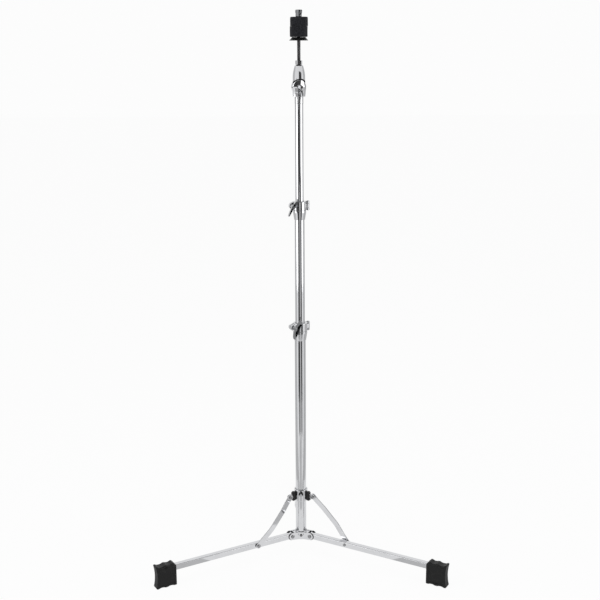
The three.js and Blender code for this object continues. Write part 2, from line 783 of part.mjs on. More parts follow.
function felt(height) {
  const soft = feltEdge * feltSoftShare;
  return turned([
    [feltBore, 0], [feltRadius - feltEdge, 0], [feltRadius - soft, soft], [feltRadius, feltEdge],
    [feltRadius, height - feltEdge], [feltRadius - soft, height - soft], [feltRadius - feltEdge, height],
    [feltBore, height],
  ], fineSides);
}

function cymbalNut() {
  const hub = turned([
    [0, 0], [cymbalNutRadius - cymbalNutEdge, 0], [cymbalNutRadius, cymbalNutEdge],
    [cymbalNutRadius, cymbalNutHeight - cymbalNutEdge], [cymbalNutRadius - cymbalNutEdge, cymbalNutHeight],
    [0, cymbalNutHeight],
  ]);
  const wingDrop = cymbalNutHeight - cymbalNutWingRise;
  const blades = wings(cymbalNutWingSpan, wingDrop, wingThickness, wingEdgeThickness);
  const hole = rod(rodRadius + gap, -overrun, cymbalNutHeight + overrun, pinSides);
  return cut(join(hub, blades.translate(0, 0, cymbalNutWingRise)), hole);
}

// Finishes
const finishes = {
  chrome: { color: 0xd6d8dc, roughness: 0.12, metalness: 1 },
  darkChrome: { color: 0x9a9ca2, roughness: 0.22, metalness: 1 },
  steel: { color: 0xb9bbc0, roughness: 0.3, metalness: 1 },
  blackNylon: { color: 0x141416, roughness: 0.45, metalness: 0 },
  rubber: { color: 0x1a1a1c, roughness: 0.75, metalness: 0 },
  felt: { color: 0x29292d, roughness: 0.95, metalness: 0 },
};

function piece(name, finish, geometry) {
  const mesh = new THREE.Mesh(geometry, new THREE.MeshStandardMaterial(finishes[finish]));
  mesh.name = name;
  return mesh;
}

function groupAt(height, turn, ...children) {
  const group = new THREE.Group();
  group.position.set(0, 0, height);
  group.rotation.z = radians(turn);
  group.add(...children);
  return group;
}

// Assembly

const stand = new THREE.Group();
const mast = new THREE.Group();
mast.position.set(0, mastSetback, 0);
stand.add(mast);

const tubes = [
  ["lower_tube", lowerTubeRadius, lowerTubeLength, lowerTubeTop],
  ["middle_tube", middleTubeRadius, middleTubeLength, middleTubeTop],
  ["upper_tube", upperTubeRadius, upperTubeLength, upperTubeTop],
];
for (const [name, radius, length, top] of tubes) {
  mast.add(groupAt(top - length, 0, piece(name, "chrome", tube(radius, length))));
}

mast.add(groupAt(hubBottomHeight, 0, piece("leg_hub", "chrome", legHub())));
mast.add(groupAt(legAxisHeight, 0, piece("hub_screw", "steel", hubScrew())));
mast.add(groupAt(collarBottomHeight, 0, piece("brace_collar", "chrome", braceCollar())));
mast.add(groupAt(keyScrewHeight, 0, piece("brace_collar_screw", "darkChrome", keyScrew())));

for (const [place, heading] of Object.entries(legHeadings)) {
  const pinMesh = piece("leg_pin_" + place, "chrome", legPin());
  pinMesh.position.x = legPivotReach;
  const legMesh = piece("leg_" + place, "chrome", leg());
  legMesh.position.x = legPivotReach;
  const tailMesh = piece("rivet_tail_" + place, "chrome", rivetTailPiece());
  tailMesh.position.x = strutLowReach;
  const footMesh = piece("foot_" + place, "rubber", foot());
  footMesh.position.set(footReach - footLength, 0, -legAxisHeight);
  mast.add(groupAt(legAxisHeight, heading, pinMesh, legMesh, tailMesh, footMesh));

  const bumperMesh = piece("bumper_" + place, "blackNylon", bumper());
  const strutPinMesh = piece("strut_pin_" + place, "chrome", strutPin());
  strutPinMesh.position.x = strutPivotReach;
  const strutMesh = piece("strut_" + place, "chrome", strut());
  strutMesh.position.x = strutPivotReach;
  strutMesh.rotation.y = strutSlope;
  const rivetMesh = piece("strut_rivet_" + place, "chrome", strutRivet());
  rivetMesh.position.set(strutLowReach, 0, -strutDrop);
  const washerMesh = piece("strut_washer_" + place, "blackNylon", strutWasher());
  washerMesh.position.copy(rivetMesh.position);
  mast.add(groupAt(strutPivotHeight, heading, bumperMesh, strutPinMesh, strutMesh, rivetMesh, washerMesh));
}

const clamps = [
  ["lower", lowerTubeRadius, middleTubeRadius, lowerTubeTop, lowerClampTurn, lowerWingLean],
  ["upper", middleTubeRadius, upperTubeRadius, middleTubeTop, upperClampTurn, upperWingLean],
];
for (const [level, outerRadius, innerRadius, top, turn, lean] of clamps) {
  const sizes = clampSizes(outerRadius, innerRadius);
  const earFace = clampSplit / 2 + clampEarThickness + gap;
  const shankLength = earFace * 2 + clampNutThickness;
  const blades = wings(wingSpan, wingDepth, wingThickness, wingEdgeThickness);
  const bolt = wingBolt(shankLength, blades).rotateZ(radians(lean)).rotateX(Math.PI / 2);
  const boltMesh = piece(level + "_wing_bolt", "darkChrome", bolt);
  boltMesh.position.set(-sizes.boltReach, -earFace, sizes.middle);
  mast.add(groupAt(
    top, turn,
    piece(level + "_clamp_body", "chrome", clampBody(sizes)),
    piece(level + "_clamp_gate", "chrome", clampGate(sizes)),
    piece(level + "_clamp_pin", "steel", clampPin(sizes)),
    piece(level + "_clamp_nut", "steel", clampNut(sizes)),
    piece(level + "_clamp_sleeve", "blackNylon", clampSleeve(sizes, outerRadius)),
    boltMesh,
  ));
}

const tilterShankLength = tilterDiscThickness + tilterCheekThickness + tilterNutThickness + gap * 2;
const tilterBolt = wingBolt(tilterShankLength, lever(tilterLeverSpan)).rotateZ(radians(tilterWingLean));
const tilterBoltMesh = piece("tilter_wing_bolt", "darkChrome", tilterBolt.rotateX(Math.PI / 2));
tilterBoltMesh.position.y = -tilterDiscThickness - gap;
const upperFelt = piece("upper_felt", "felt", felt(upperFeltHeight));
upperFelt.position.set(upperFeltShift, 0, upperFeltFoot);
const lowerFelt = piece("lower_felt", "felt", felt(lowerFeltHeight));
lowerFelt.position.z = lowerFeltFoot;
const lockNut = hexNut(lockNutAcross, 0, lockNutHeight, lockNutEdge, rodRadius + gap);
const lockNutMesh = piece("rod_lock_nut", "chrome", lockNut);
lockNutMesh.position.z = bellTop + gap;
const nutMesh = piece("cymbal_wing_nut", "chrome", cymbalNut());
nutMesh.position.z = cymbalNutFoot;
nutMesh.rotation.z = radians(cymbalNutTurn);
mast.add(groupAt(
  tilterHeight, tilterTurn,
  piece("tilter_base", "chrome", tilterBase()),
  piece("tilter_head", "chrome", tilterHead()),
  piece("tilter_nut", "steel", tilterNut()),
  piece("cymbal_rod", "darkChrome", cymbalRod()),
  piece("felt_seat", "blackNylon", feltSeat()),
  piece("felt_sleeve", "blackNylon", feltSleeve()),
  tilterBoltMesh, lockNutMesh, lowerFelt, upperFelt, nutMesh,
));

export default stand;
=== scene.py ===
# Straight cymbal stand on a flat folding base: the looks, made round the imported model.
# Lengths in the tables are millimetres and angles are degrees. The mast stands up along Z.
import json
import math
from types import SimpleNamespace as Named

import bmesh
import bpy
import numpy as np
from mathutils import Matrix, Vector


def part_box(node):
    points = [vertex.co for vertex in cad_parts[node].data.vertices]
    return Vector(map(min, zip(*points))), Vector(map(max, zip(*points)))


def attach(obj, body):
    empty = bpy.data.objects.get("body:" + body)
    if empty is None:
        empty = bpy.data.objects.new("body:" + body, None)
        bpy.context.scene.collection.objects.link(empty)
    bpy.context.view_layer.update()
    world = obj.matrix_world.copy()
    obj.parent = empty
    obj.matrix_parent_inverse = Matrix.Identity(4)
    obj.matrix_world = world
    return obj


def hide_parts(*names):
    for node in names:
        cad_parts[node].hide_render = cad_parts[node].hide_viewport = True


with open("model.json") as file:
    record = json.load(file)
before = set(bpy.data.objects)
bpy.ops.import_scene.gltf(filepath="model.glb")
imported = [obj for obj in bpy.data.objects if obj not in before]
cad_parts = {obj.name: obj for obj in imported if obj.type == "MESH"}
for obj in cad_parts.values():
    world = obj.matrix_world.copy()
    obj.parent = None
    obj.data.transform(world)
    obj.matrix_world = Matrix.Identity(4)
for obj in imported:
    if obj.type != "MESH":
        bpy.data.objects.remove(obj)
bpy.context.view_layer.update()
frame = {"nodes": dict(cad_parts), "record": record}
record = frame["record"]
bodyOf = {node: body for body, nodes in record["behaviour"]["bodies"].items() for node in nodes}
slotOf = {part["node"]: part["material_slot"] for part in record["subparts"]}
tubeLow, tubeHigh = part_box("lower_tube")
mastY = 500 * (tubeLow.y + tubeHigh.y)  # millimetres
print("frame loaded:", len(frame["nodes"]), "nodes")


# Shader maths: a value wraps a socket, so that 1 - mask or noise * 0.2 adds its own Math nodes.
class Value:
    def __init__(self, shader, socket):
        self.shader = shader
        self.socket = socket

    def math(self, operation, first, second):
        made = self.shader.node("ShaderNodeMath", {"operation": operation}, {0: first, 1: second})
        return Value(self.shader, made.outputs[0])

    def __add__(self, other):
        return self.math("ADD", self, other)

    def __radd__(self, other):
        return self.math("ADD", other, self)

    def __sub__(self, other):
        return self.math("SUBTRACT", self, other)

    def __rsub__(self, other):
        return self.math("SUBTRACT", other, self)

    def __mul__(self, other):
        return self.math("MULTIPLY", self, other)

    def __rmul__(self, other):
        return self.math("MULTIPLY", other, self)


class Shader:
    def __init__(self, owner):
        owner.use_nodes = True
        self.tree = owner.node_tree

    def node(self, kind, settings=None, inputs=None):
        made = self.tree.nodes.new(kind)
        for key, value in (settings or {}).items():
            setattr(made, key, value)
        for key, value in (inputs or {}).items():
            if isinstance(value, Value):
                self.tree.links.new(value.socket, made.inputs[key])
            else:
                made.inputs[key].default_value = value
        return made

    def out(self, made, name=0):
        return Value(self, made.outputs[name])

    def place(self, stretch=(1, 1, 1)):
        here = self.out(self.node("ShaderNodeTexCoord"), "Object")
        return self.out(self.node("ShaderNodeMapping", None, {"Vector": here, "Scale": stretch}))

    def noise(self, place, scale, detail=3.0, rough=0.5):
        made = self.node("ShaderNodeTexNoise", None,
                         {"Vector": place, "Scale": scale, "Detail": detail, "Roughness": rough})
        return self.out(made, "Fac")

    def cells(self, place, scale):
        made = self.node("ShaderNodeTexVoronoi", None, {"Vector": place, "Scale": scale})
        return self.out(made, "Distance")

    # A value between low and high spread over 0 to 1, and held there outside them.
    def spread(self, value, low, high):
        made = self.node("ShaderNodeMapRange", {"clamp": True},
                         {"Value": value, "From Min": low, "From Max": high})
        return self.out(made)

    def blend(self, amount, first, second):
        made = self.node("ShaderNodeMix", {"data_type": "RGBA"}, {0: amount, 6: first, 7: second})
        return Value(self, made.outputs[2])

    def bump(self, height, strength, distance):
        made = self.node("ShaderNodeBump", None,
                         {"Height": height, "Strength": strength, "Distance": distance})
        return self.out(made)


def finish(name, inputs):
    # One Principled shader, whose inputs are numbers, colours or values worked out by nodes.
    material = bpy.data.materials.new(name)
    shader = Shader(material)
    surface = shader.tree.nodes["Principled BSDF"]
    for key, value in inputs(shader).items():
        if isinstance(value, Value):
            shader.tree.links.new(value.socket, surface.inputs[key])
        else:
            surface.inputs[key].default_value = value
    return material


# By slot or look: the material's name, its bright and dull colours, gloss, haze, marks and orange peel
platings = {
    "chrome": ("chromePlate", (0.66, 0.665, 0.68, 1), (0.57, 0.575, 0.59, 1), 0.04, 0.1, 0.06, 0.05),
    "dark_chrome": ("castChrome", (0.56, 0.565, 0.58, 1), (0.45, 0.455, 0.47, 1), 0.08, 0.12, 0.06, 0.12),
    "steel": ("zincSteel", (0.5, 0.5, 0.51, 1), (0.33, 0.33, 0.335, 1), 0.18, 0.2, 0.1, 0.2),
    "wing": ("wingCast", (0.27, 0.275, 0.285, 1), (0.19, 0.195, 0.2, 1), 0.08, 0.12, 0.06, 0.12),
    "rivet": ("rivetSteel", (0.3, 0.3, 0.31, 1), (0.2, 0.2, 0.2, 1), 0.12, 0.16, 0.08, 0.2),
    "thread": ("screwSteel", (0.2, 0.2, 0.205, 1), (0.1, 0.1, 0.1, 1), 0.22, 0.2, 0.1, 0.2),
}

# Plated metal: haze about 30 mm across, fine marks drawn along the mast, and a faint orange peel.
platingGrain = Named(haze=34, marks=1500, specks=700, peel=420, drawn=(1, 1, 0.02), hazeShare=0.45,
                     speckShare=0.3)


def plated(bright, dull, gloss, hazed, marked, peeled):
    grain = platingGrain

    def inputs(s):
        haze = s.spread(s.noise(s.place(), grain.haze, 4, 0.6), 0.42, 0.72)
        marks = s.spread(s.noise(s.place(grain.drawn), grain.marks, 2), 0.6, 0.75)
        specks = s.spread(s.noise(s.place(), grain.specks, 1), 0.74, 0.8)
        peel = s.noise(s.place(), grain.peel, 2)
        dulled = haze * grain.hazeShare + specks * grain.speckShare
        return {
            "Base Color": s.blend(dulled, bright, dull),
            "Roughness": haze * hazed + marks * marked + gloss,
            "Metallic": 1.0,
            "Normal": s.bump(peel, peeled, 0.0001),
        }
    return inputs


# Moulded nylon: near black with a satin grain and paler scuffs.
nylonLook = Named(dark=(0.006, 0.006, 0.0065, 1), scuffed=(0.018, 0.018, 0.019, 1), grain=2400, scuffs=260,
                  gloss=0.36, scuffGloss=0.2, specular=0.35, bump=0.25)


def nylon(s):
    look = nylonLook
    grain = s.noise(s.place(), look.grain, 2)
    scuffs = s.spread(s.noise(s.place(), look.scuffs, 5, 0.7), 0.56, 0.75)
    return {
        "Base Color": s.blend(scuffs, look.dark, look.scuffed),
        "Roughness": scuffs * look.scuffGloss + look.gloss,
        "Specular IOR Level": look.specular,
        "Normal": s.bump(grain, look.bump, 0.00012),
    }


# Moulded rubber: matt and black, with a pebbled skin, dust in patches and small flow marks.
rubberLook = Named(dark=(0.006, 0.006, 0.0063, 1), dusty=(0.019, 0.0187, 0.0184, 1), pebbles=1300, dust=90,
                   flow=240, flowed=(1, 1, 0.25), gloss=0.42, dustGloss=0.2, pebbleGloss=0.1, specular=0.3,
                   bump=0.45)


def rubber(s):
    look = rubberLook
    pebbles = s.cells(s.place(), look.pebbles)
    dust = s.spread(s.noise(s.place(), look.dust, 6, 0.65), 0.48, 0.78)
    flow = s.noise(s.place(look.flowed), look.flow, 3)
    return {
        "Base Color": s.blend(dust, look.dark, look.dusty),
        "Roughness": dust * look.dustGloss + pebbles * look.pebbleGloss + look.gloss,
        "Specular IOR Level": look.specular,
        "Normal": s.bump(pebbles * 0.5 + flow, look.bump, 0.00025),
    }


# Pressed wool felt: short crossed fibres, mottled charcoal, with a soft sheen at the edges.
woolLook = Named(dark=(0.009, 0.009, 0.011, 1), pale=(0.027, 0.027, 0.032, 1), fleck=(0.08, 0.08, 0.09, 1),
                 fibres=2100, strands=1500, mottle=210, flecks=3100, fleckShare=0.35, rough=0.95,
                 specular=0.15, sheen=0.06, sheenRough=0.5, bump=0.9)


def wool(s):
    look = woolLook
    fibres = s.noise(s.place((1, 1, 0.35)), look.fibres, 5, 0.75)
    strands = s.noise(s.place((0.3, 1, 1)), look.strands, 3, 0.6)
    mottle = s.noise(s.place(), look.mottle, 5, 0.7)
    fleck = s.spread(s.noise(s.place(), look.flecks, 1), 0.66, 0.74)
    base = s.blend(s.spread(mottle * 0.6 + fibres * 0.4, 0.38, 0.62), look.dark, look.pale)
    return {
        "Base Color": s.blend(fleck * look.fleckShare, base, look.fleck),
        "Roughness": look.rough,
        "Specular IOR Level": look.specular,
        "Sheen Weight": look.sheen,
        "Sheen Roughness": look.sheenRough,
        "Normal": s.bump(fibres + strands * 0.7 + mottle * 0.8, look.bump, 0.0007),
    }


materials = {slot: finish(name, plated(*look)) for slot, (name, *look) in platings.items()}
materials["black_nylon"] = finish("blackNylon", nylon)
materials["rubber"] = finish("footRubber", rubber)
materials["felt"] = finish("woolFelt", wool)
print("materials made:", len(materials))


# Shapes. A shell is a grid of points [rows, columns, 3] whose columns join up into rings, with its first
# and last rings drawn in to a point, meeting each other, or closed by a flat cap.
def rounded(corners, radius, closed=True, steps=4):
    # Each corner becomes a quadratic curve from radius before it to radius after it.
    corner = np.asarray(corners, float)
    before, after = np.roll(corner, 1, 0) - corner, np.roll(corner, -1, 0) - corner
    lengthBefore = np.linalg.norm(before, axis=1)
    lengthAfter = np.linalg.norm(after, axis=1)
    reach = np.minimum(np.broadcast_to(radius, lengthBefore.shape),
                       0.48 * np.minimum(lengthBefore, lengthAfter))
    if not closed:
        reach = reach * (np.arange(len(corner)) % (len(corner) - 1) > 0)
    start = corner + before * (reach / np.maximum(lengthBefore, 1e-9))[:, None]
    end = corner + after * (reach / np.maximum(lengthAfter, 1e-9))[:, None]
    t = np.linspace(0, 1, steps)[None, :, None]
    curve = (1 - t) ** 2 * start[:, None] + 2 * t * (1 - t) * corner[:, None] + t ** 2 * end[:, None]
    return curve.reshape(-1, 2)


def around(radius, angle, height):
    # Points about Z: x = radius cos a, y = radius sin a.
    return np.stack([radius * np.cos(angle), radius * np.sin(angle), height + 0 * angle], -1)


def turned(profile, sides=64):
    # Spins [radius, height] about Z.
    profile = np.asarray(profile, float)
    angle = np.linspace(0, 2 * np.pi, sides, endpoint=False)
    return around(profile[:, :1], angle, profile[:, 1:]), False


def sector(profile, start, end, steps=40):
    # Carries a closed [radius, height] section round Z from one angle to another, and caps both ends.
    profile = np.asarray(profile, float)
    angle = np.radians(np.linspace(start, end, steps))[:, None]
    return around(profile[:, 0], angle, profile[:, 1]), True


def plate(outline, low, high, edge, steps=4, thin=None):
    # Draws an outline in X and Z from low to high along Y, with its rims rounded by edge: at t, the
    # outline stands in by edge (1 - sin t) and lies at edge (1 - cos t) from the face.
    outline = np.asarray(outline, float)
    tangent = np.roll(outline, -1, 0) - np.roll(outline, 1, 0)
    normal = np.stack([tangent[:, 1], -tangent[:, 0]], -1)
    normal /= np.maximum(np.linalg.norm(normal, axis=1, keepdims=True), 1e-9)
    x, y = outline[:, 0], outline[:, 1]
    if np.sum(x * np.roll(y, -1) - y * np.roll(x, -1)) < 0:
        normal = -normal
    t = np.linspace(0, np.pi / 2, steps)
    inset = np.concatenate([1 - np.sin(t), 1 - np.sin(t[::-1])]) * edge
    depth = np.concatenate([low + (1 - np.cos(t)) * edge, high - (1 - np.cos(t[::-1])) * edge])
    flat = outline[None] - normal[None] * inset[:, None, None]
    across = depth[:, None] + 0 * flat[..., 0]
    if thin is not None:
        across = across * thin(flat[..., 0])
    return np.stack([flat[..., 0], across, flat[..., 1]], -1), True


def alongY(shell):
    # Lays a shell made about Z along Y.
    points, capped = shell
    return np.stack([points[..., 0], points[..., 2], points[..., 1]], -1), capped


def forward(shell):
    # Points a shell made along +Z to the front, along -Y.
    points, capped = shell
    return np.stack([points[..., 0], -points[..., 2], points[..., 1]], -1), capped


def moved(shell, x=0.0, y=0.0, z=0.0):
    # Adds the same step to every point.
    points, capped = shell
    return points + np.array([x, y, z]), capped


def spun(shell, degrees):
    # Turns a shell about Z: x = x cos a - y sin a, y = x sin a + y cos a.
    points, capped = shell
    c, s = math.cos(math.radians(degrees)), math.sin(math.radians(degrees))
    x, y = points[..., 0], points[..., 1]
    return np.stack([x * c - y * s, x * s + y * c, points[..., 2]], -1), capped


def raised(shells, height, turn=0.0):
    # Puts shells drawn about the mast at their height and heading.
    return [moved(spun(shell, turn), y=mastY, z=height) for shell in shells]


def rectangle(lowX, highX, lowZ, highZ):
    # The four corners of a section, or of a profile that starts and ends on the axis when lowX is 0.
    return [[lowX, lowZ], [highX, lowZ], [highX, highZ], [lowX, highZ]]


def solid(profile, edge, sides=96):
    # Spins a profile that starts and ends on the axis.
    return turned(rounded(profile, edge, closed=False), sides)


def disc(radius, low, high, edge=0.4, sides=40):
    # A solid cylinder about Z whose two rims are rounded.
    return solid(rectangle(0, radius, low, high), edge, sides)


def button(radius, low, high, sides=40):
    # A domed head: flat underneath at low, and an ellipse up to high.
    t = np.linspace(0, np.pi / 2, 8)
    dome = np.stack([radius * np.cos(t), low + 0.35 * (high - low) + 0.65 * (high - low) * np.sin(t)], -1)
    return turned(np.concatenate([[[0, low], [radius, low]], dome]), sides)


def hollow(profile, edge, sides=64):
    # Spins a closed section, so that it comes back to its first ring.
    ring = rounded(profile, edge)
    return turned(np.concatenate([ring, ring[:1]]), sides)


def slabBox(lowX, highX, lowY, highY, lowZ, highZ, edge=0.5):
    # A rounded rectangle in X and Z, drawn along Y.
    return plate(rounded(rectangle(lowX, highX, lowZ, highZ), edge), lowY, highY, edge)


def hexagon(across, low, high, turn=0):
    # A hexagon along Z whose corners are cut by a cone at both ends. At turn 0 two corners lie on X.
    radius = across / math.sqrt(3)
    angle = np.linspace(0, 2 * np.pi, 96, endpoint=False)
    side = across / 2 / np.cos(((angle + turn) % (np.pi / 3)) - np.pi / 6)
    lift = radius - across / 2
    rows = [(0.0, low, 0.0), (0.985 * across / 2, low, 0.0), (side, low, lift), (side, high, -lift),
            (0.985 * across / 2, high, 0.0), (0.0, high, 0.0)]
    grid = []
    for reach, level, slope in rows:
        reach = np.broadcast_to(reach, angle.shape)
        cone = np.clip((reach - across / 2) / lift, 0, 1)
        grid.append(around(reach, angle, level + slope * cone * 0.6))
    return np.array(grid), False


def meshOf(name, shells, sharp):
    # Joins each point to the next in its ring and to the next ring. Edges past the sharp angle stay crisp.
    points, faces, start = [], [], 0
    for grid, capped in shells:
        rows, columns = grid.shape[:2]
        row = np.arange(rows - 1)[:, None] * columns
        column = np.arange(columns)[None, :]
        after = (column + 1) % columns
        quads = np.stack([row + column, row + after, row + columns + after, row + columns + column], -1)
        faces += (quads.reshape(-1, 4) + start).tolist()
        if capped:
            faces.append(list(range(start, start + columns)))
            faces.append(list(range(start + (rows - 1) * columns, start + rows * columns)))
        points.append(grid.reshape(-1, 3) / 1000)
        start += rows * columns
    mesh = bpy.data.meshes.new(name)
    mesh.from_pydata(np.concatenate(points).tolist(), [], faces)
    work = bmesh.new()
    work.from_mesh(mesh)
    bmesh.ops.remove_doubles(work, verts=work.verts, dist=2e-6)
    bmesh.ops.dissolve_degenerate(work, edges=work.edges, dist=1e-6)
    bmesh.ops.recalc_face_normals(work, faces=work.faces)
    for face in work.faces:
        face.smooth = True
    for edge in work.edges:
        edge.smooth = len(edge.link_faces) == 2 and edge.calc_face_angle(0) < math.radians(sharp)
    work.to_mesh(mesh)
    work.free()
    return mesh


def settle(made):
    # Wide faces lead the smoothing, so that a flat stays flat beside its rounded rim.
    flats = made.modifiers.new("flats", "WEIGHTED_NORMAL")
    flats.mode = "FACE_AREA_WITH_ANGLE"
    flats.keep_sharp = True


def piece(node, shells, sharp=38, look=None):
    # One object stands for one node of the model, and takes the node's body and finish.
    words = node.split("_")
    name = words[0] + "".join(word.capitalize() for word in words[1:])
    made = bpy.data.objects.new(name, meshOf(name, shells, sharp))
    bpy.context.scene.collection.objects.link(made)
    made.data.materials.append(materials[look or slotOf[node]])
    settle(made)
    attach(made, bodyOf[node])
    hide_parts(node)
    return made


def trim(name, body, shells, look):
    # A small extra piece, which rides on a body and stands for no node.
    made = bpy.data.objects.new(name, meshOf(name, shells, 38))
    bpy.context.scene.collection.objects.link(made)
    made.data.materials.append(materials[look])
    settle(made)
    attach(made, body)
    return made


# Tubes
tubes = {
    "lower_tube": Named(radius=12.7, low=34.3, high=552.3),
    "middle_tube": Named(radius=11.1, low=354.8, high=834.8),
    "upper_tube": Named(radius=9.525, low=651.0, high=1071.0),
}
tubeWall, tubeLip = 1.2, 0.35
for node, tube in tubes.items():
    section = rectangle(tube.radius - tubeWall, tube.radius, tube.low, tube.high)
    piece(node, raised([hollow(section, tubeLip, 96)], 0))
print("tubes made")

# The base: hub, legs, feet, and the rivets that hold them
headings = {"left": 210, "right": 330, "rear": 90}
leg = Named(pivotReach=28.6, height=42, side=6.35, wall=1.6, fold=1.7, lip=0.3, reach=383, end=370)
hub = Named(low=31, radius=15, height=19.5, bore=13, floor=3, edge=1.3, earFrom=11.2, earLow=0, earTop=18.5,
            earIn=6.85, earOut=9.45, earRadius=8.8, earEdge=0.7, webFrom=13.6, webEnd=21.4, webHalf=7.6,
            webLow=0.5, webTop=17.8, webEdge=0.6)
hubScrew = Named(head=3.4, rise=1.8, shank=2.4, shankFrom=-2.3, shankTo=0.2, seat=15.3)
legPin = Named(shank=3, gap=0.3, head=4.6, rise=1.6)
# The black liner at each leg pivot paints the shade of the gap between ear and leg.
shadeLiner = Named(back=2, rootHalf=4, over=1.1, low=0.4, past=0.3, inner=6.5, outer=6.8, edge=0.05)
pivotZ = leg.height - hub.low


def earOutline(rootX, rootLow, rootHigh, centreX, centreZ, radius):
    # Straight from its root, with half a circle about its hole.
    angle = np.radians(np.linspace(-90, 90, 25))
    end = np.stack([centreX + radius * np.cos(angle), centreZ + radius * np.sin(angle)], -1)
    return np.concatenate([[[rootX, rootLow]], end, [[rootX, rootHigh]]])


def hubShells():
    # A cup spun about the mast, with two ears and a web between them at each leg's heading.
    rim = [[hub.bore, hub.floor], [hub.bore, hub.height], [hub.radius, hub.height], [hub.radius, 0], [0, 0]]
    profile = np.concatenate([[[0, hub.floor]], rounded(rim, hub.edge, closed=False)])
    ear = earOutline(hub.earFrom, hub.earLow, hub.earTop, leg.pivotReach, pivotZ, hub.earRadius)
    near, far, half = hub.earIn, hub.earOut, hub.webHalf
    web = slabBox(hub.webFrom, hub.webEnd, -half, half, hub.webLow, hub.webTop, hub.webEdge)
    around = [plate(ear, near, far, hub.earEdge), plate(ear, -far, -near, hub.earEdge), web]
    return [turned(profile, 96)] + [spun(shell, heading) for heading in headings.values()
                                    for shell in around]


def screwShells():
    # A domed head on a short shank, pointing to the front.
    shank = disc(hubScrew.shank, hubScrew.shankFrom, hubScrew.shankTo)
    return [moved(forward(shell), y=-hubScrew.seat)
            for shell in (button(hubScrew.head, 0, hubScrew.rise), shank)]


def pinShells():
    # A shank along Y with a domed head outside each ear.
    seat = hub.earOut + legPin.gap
    head = seat + legPin.rise
    ends = [button(legPin.head, seat, head), disc(legPin.shank, -seat, seat),
            button(legPin.head, -seat, -head)]
    return [moved(alongY(end), x=leg.pivotReach) for end in ends]


def shadeLinerShells():
    # Two thin black cheeks inside the ears, painted shade for the gap round each ear's end: the ear's
    # outline, drawn larger, and held between two heights.
    radius, reach = hub.earRadius, leg.pivotReach
    outline = earOutline(reach - shadeLiner.back, pivotZ - shadeLiner.rootHalf, pivotZ + shadeLiner.rootHalf,
                         reach, pivotZ, radius + shadeLiner.over)
    outline[:, 1] = np.clip(outline[:, 1], shadeLiner.low, pivotZ + radius + shadeLiner.past)
    return [moved(plate(outline, side * shadeLiner.inner, side * shadeLiner.outer, shadeLiner.edge, 2), z=-pivotZ)
            for side in (1, -1)]


def legShell():
    # An upside-down U carried along X. Its height follows the half circle about the pivot at the root.
    side, wall, fold, lip = leg.side, leg.wall, leg.fold, leg.lip
    inner = side - wall
    corners = [[-side, -side], [-inner, -side], [-inner, inner], [inner, inner], [inner, -side],
               [side, -side], [side, side], [-side, side]]
    radii = np.array([lip, lip, fold - wall, fold - wall, lip, lip, fold, fold])
    section = rounded(corners, radii, steps=6)
    length = leg.end - leg.pivotReach
    root = -side * np.cos(np.linspace(0, np.pi / 2, 14))
    x = np.concatenate([root, np.linspace(0, length, 12)[1:]])
    height = np.sqrt(np.clip(1 - (np.minimum(x, 0) / side) ** 2, 0, 1))[:, None]
    grid = [x[:, None] + 0 * section[:, 0], section[:, 0] + 0 * height, section[:, 1] * height]
    return np.stack(grid, -1), True


# The foot from the side: shares of its length and height, from the inner lower tip round the outer end.
foot = Named(length=50, height=56, half=9.5, round=2.2, edge=1.6, panelIn=4.2, panelSlope=0.6,
             panelDeep=0.55, sharp=30)
footSide = [
    [0.02, 0], [0.13, 0], [0.2, 0.025], [0.31, 0.035], [0.39, 0.02], [0.44, 0], [0.56, 0], [0.61, 0.02],
    [0.7, 0.035], [0.8, 0.03], [0.88, 0], [0.96, 0], [1, 0.04], [0.965, 0.16], [0.94, 0.33], [0.93, 0.5],
    [0.94, 0.67], [0.965, 0.84], [1, 0.965], [0.97, 0.99], [0.92, 0.99], [0.85, 0.95], [0.7, 0.94],
    [0.62, 0.955], [0.56, 0.985], [0.48, 0.985], [0.42, 0.96], [0.3, 0.95], [0.24, 0.975], [0.17, 1],
    [0.12, 0.985], [0, 0.87], [0, 0.03],
]


def footShell():
    # A plate with rounded rims, whose two faces step in to a shallow panel inside a plain border.
    outline = rounded(np.array(footSide) * [foot.length, foot.height], foot.round)
    grid, capped = plate(outline, -foot.half, foot.half, foot.edge, 6)
    centre = np.array([0.5 * foot.length, 0, 0.5 * foot.height])
    half = np.array([0.5 * foot.length, 1, 0.5 * foot.height])
    rims = []
    for inset, deep in ((foot.panelIn, 0), (foot.panelIn + foot.panelSlope, foot.panelDeep)):
        inner = (grid[0] - centre) * (1 - inset / half) * [1, 0, 1] + centre
        rims.append(inner + [0, deep - foot.half, 0])
    faces = np.array(rims)
    mirror = faces * [1, -1, 1]
    return np.concatenate([faces[::-1], grid, mirror]), True


piece("leg_hub", raised(hubShells(), hub.low))
piece("hub_screw", raised(screwShells(), leg.height), look="thread")
for place, heading in headings.items():
    height = leg.height
    piece("leg_pin_" + place, raised(pinShells(), height, heading), look="rivet")
    # A black liner in each pivot stands in for the shade in the gap between ear and leg.
    trim("legLiner" + place.capitalize(), "post", raised(shadeLinerShells(), height, heading), "black_nylon")
    piece("leg_" + place, raised([moved(legShell(), x=leg.pivotReach)], height, heading))
    footPlaced = moved(footShell(), x=leg.reach - foot.length)
    piece("foot_" + place, raised([footPlaced], 0, heading), foot.sharp)
print("base made")

